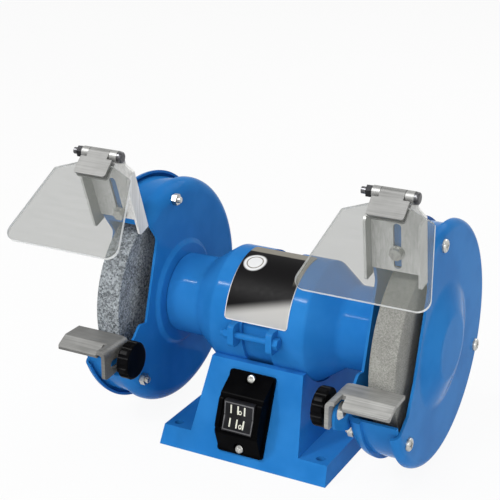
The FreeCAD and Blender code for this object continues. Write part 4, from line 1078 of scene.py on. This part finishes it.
@dataclass(frozen=True)
class Lamp:
    """Rectangular studio lamp."""

    name: str
    place: Point
    width: float
    height: float
    power: float
    gloss_only: bool = False

    def build(self, aim: Point) -> None:
        """Put up the lamp.

        Args:
            aim: Point that it looks at.
        """
        bpy.ops.object.light_add(type="AREA", location=self.place)
        lamp = bpy.context.object
        lamp.name = self.name + "_lamp"
        lamp.data.energy = self.power
        lamp.data.shape = "RECTANGLE"
        lamp.data.size = self.width
        lamp.data.size_y = self.height
        lamp.visible_diffuse = not self.gloss_only
        towards = Vector(aim) - Vector(self.place)
        lamp.rotation_euler = towards.to_track_quat("-Z", "Y").to_euler()


@dataclass
class Studio:
    """Pale floor, soft lamps and the camera at the photograph's angle."""

    azimuth_deg: float = 27.68
    elevation_deg: float = 20.22
    roll_deg: float = 0.36
    distance: float = 0.99159
    target: Point = (-0.02939, 0.0, 0.14561)
    lens: float = 92.18
    sensor: float = 36.0
    near: float = 0.05
    aim: Point = (0.0, 0.0, SPINDLE_HEIGHT)
    lamps: Tuple[Lamp, ...] = (
        Lamp("key", (-0.15, -1.5, 1.7), 0.5, 0.5, 12.0),
        Lamp("side", (-0.93, -1.2, 1.69), 0.3, 0.3, 14.0),
        Lamp("window", (-0.93, -1.2, 1.69), 0.6, 0.03, 45.0, gloss_only=True),
        Lamp("front", (0.6, -1.7, 0.9), 0.8, 0.8, 10.0),
        Lamp("fill", (1.75, -0.5, 0.3), 0.8, 0.8, 5.0),
        Lamp("rim", (0.3, 1.3, 1.3), 1.0, 1.0, 9.0))
    ambient: float = 0.32
    floor_half: float = 6.0
    floor_drop: float = 0.6 * MM
    floor_grey: Colour = (0.86, 0.86, 0.86, 1.0)
    floor_glow: float = 0.93

    def camera(self) -> None:
        """Camera fitted to the photograph."""
        turn, rise, roll = (math.radians(a) for a in (self.azimuth_deg, self.elevation_deg, self.roll_deg))
        back = Vector((math.sin(turn) * math.cos(rise), -math.cos(turn) * math.cos(rise), math.sin(rise)))
        right = Vector((math.cos(turn), math.sin(turn), 0))
        up = back.cross(right)
        across = right * math.cos(roll) + up * math.sin(roll)
        upward = up * math.cos(roll) - right * math.sin(roll)
        eye = Vector(self.target) + back * self.distance
        bpy.ops.object.camera_add(location=eye)
        cam = bpy.context.object
        cam.name = "photo_camera"
        cam.matrix_world = Matrix.Translation(eye) @ Matrix((across, upward, back)).transposed().to_4x4()
        cam.data.sensor_width = self.sensor
        cam.data.lens = self.lens
        cam.data.clip_start = self.near
        bpy.context.scene.camera = cam

    @staticmethod
    def seen(board: Board) -> Wire:
        """Tell rays that see the background from those that only carry light.

        Args:
            board: Board that the nodes go on.

        Returns:
            1 for rays from the camera, from gloss and through clear sheet, else 0.
        """
        path = board.node("LightPath")
        rays = [board.wire(path, n) for n in ("Is Camera Ray", "Is Glossy Ray", "Is Transmission Ray")]
        return rays[0].at_least(rays[1]).at_least(rays[2])

    def world(self) -> None:
        """White surroundings that light the object gently."""
        made = bpy.data.worlds.new("studio_white")
        bpy.context.scene.world = made
        board = Board(made)
        strength = self.ambient + (1 - self.ambient) * self.seen(board)
        board.surface(board.node("Background", {}, {"Color": WHITE, "Strength": strength}))

    def floor(self) -> None:
        """Pale floor that keeps a faint shadow."""
        Bench.clear()
        bpy.ops.mesh.primitive_plane_add(size=2 * self.floor_half, location=(0, 0, -self.floor_drop))
        plane = bpy.context.object
        plane.name = "floor"
        made = bpy.data.materials.new("pale_floor")
        board = Board(made)
        matt = board.node("BsdfDiffuse", {}, {"Color": self.floor_grey})
        white = board.node("Emission", {}, {"Color": WHITE, "Strength": 1.0})
        share = self.floor_glow * self.seen(board)
        board.surface(board.node("MixShader", {}, {0: share, 1: board.wire(matt), 2: board.wire(white)}))
        plane.data.materials.append(made)

    def build(self) -> None:
        """Set up the whole studio."""
        self.camera()
        for lamp in self.lamps:
            lamp.build(self.aim)
        self.world()
        self.floor()
        bpy.context.scene.view_settings.view_transform = "Standard"


def main() -> None:
    """Dress the grinder and set up the studio."""
    logging.basicConfig(level=logging.INFO)
    Studio().build()
    shop = PaintShop()
    shop.coat_solids()
    SwitchPlate().build(shop)
    CoverScrews().build(shop)


if __name__ == "__main__":
    main()
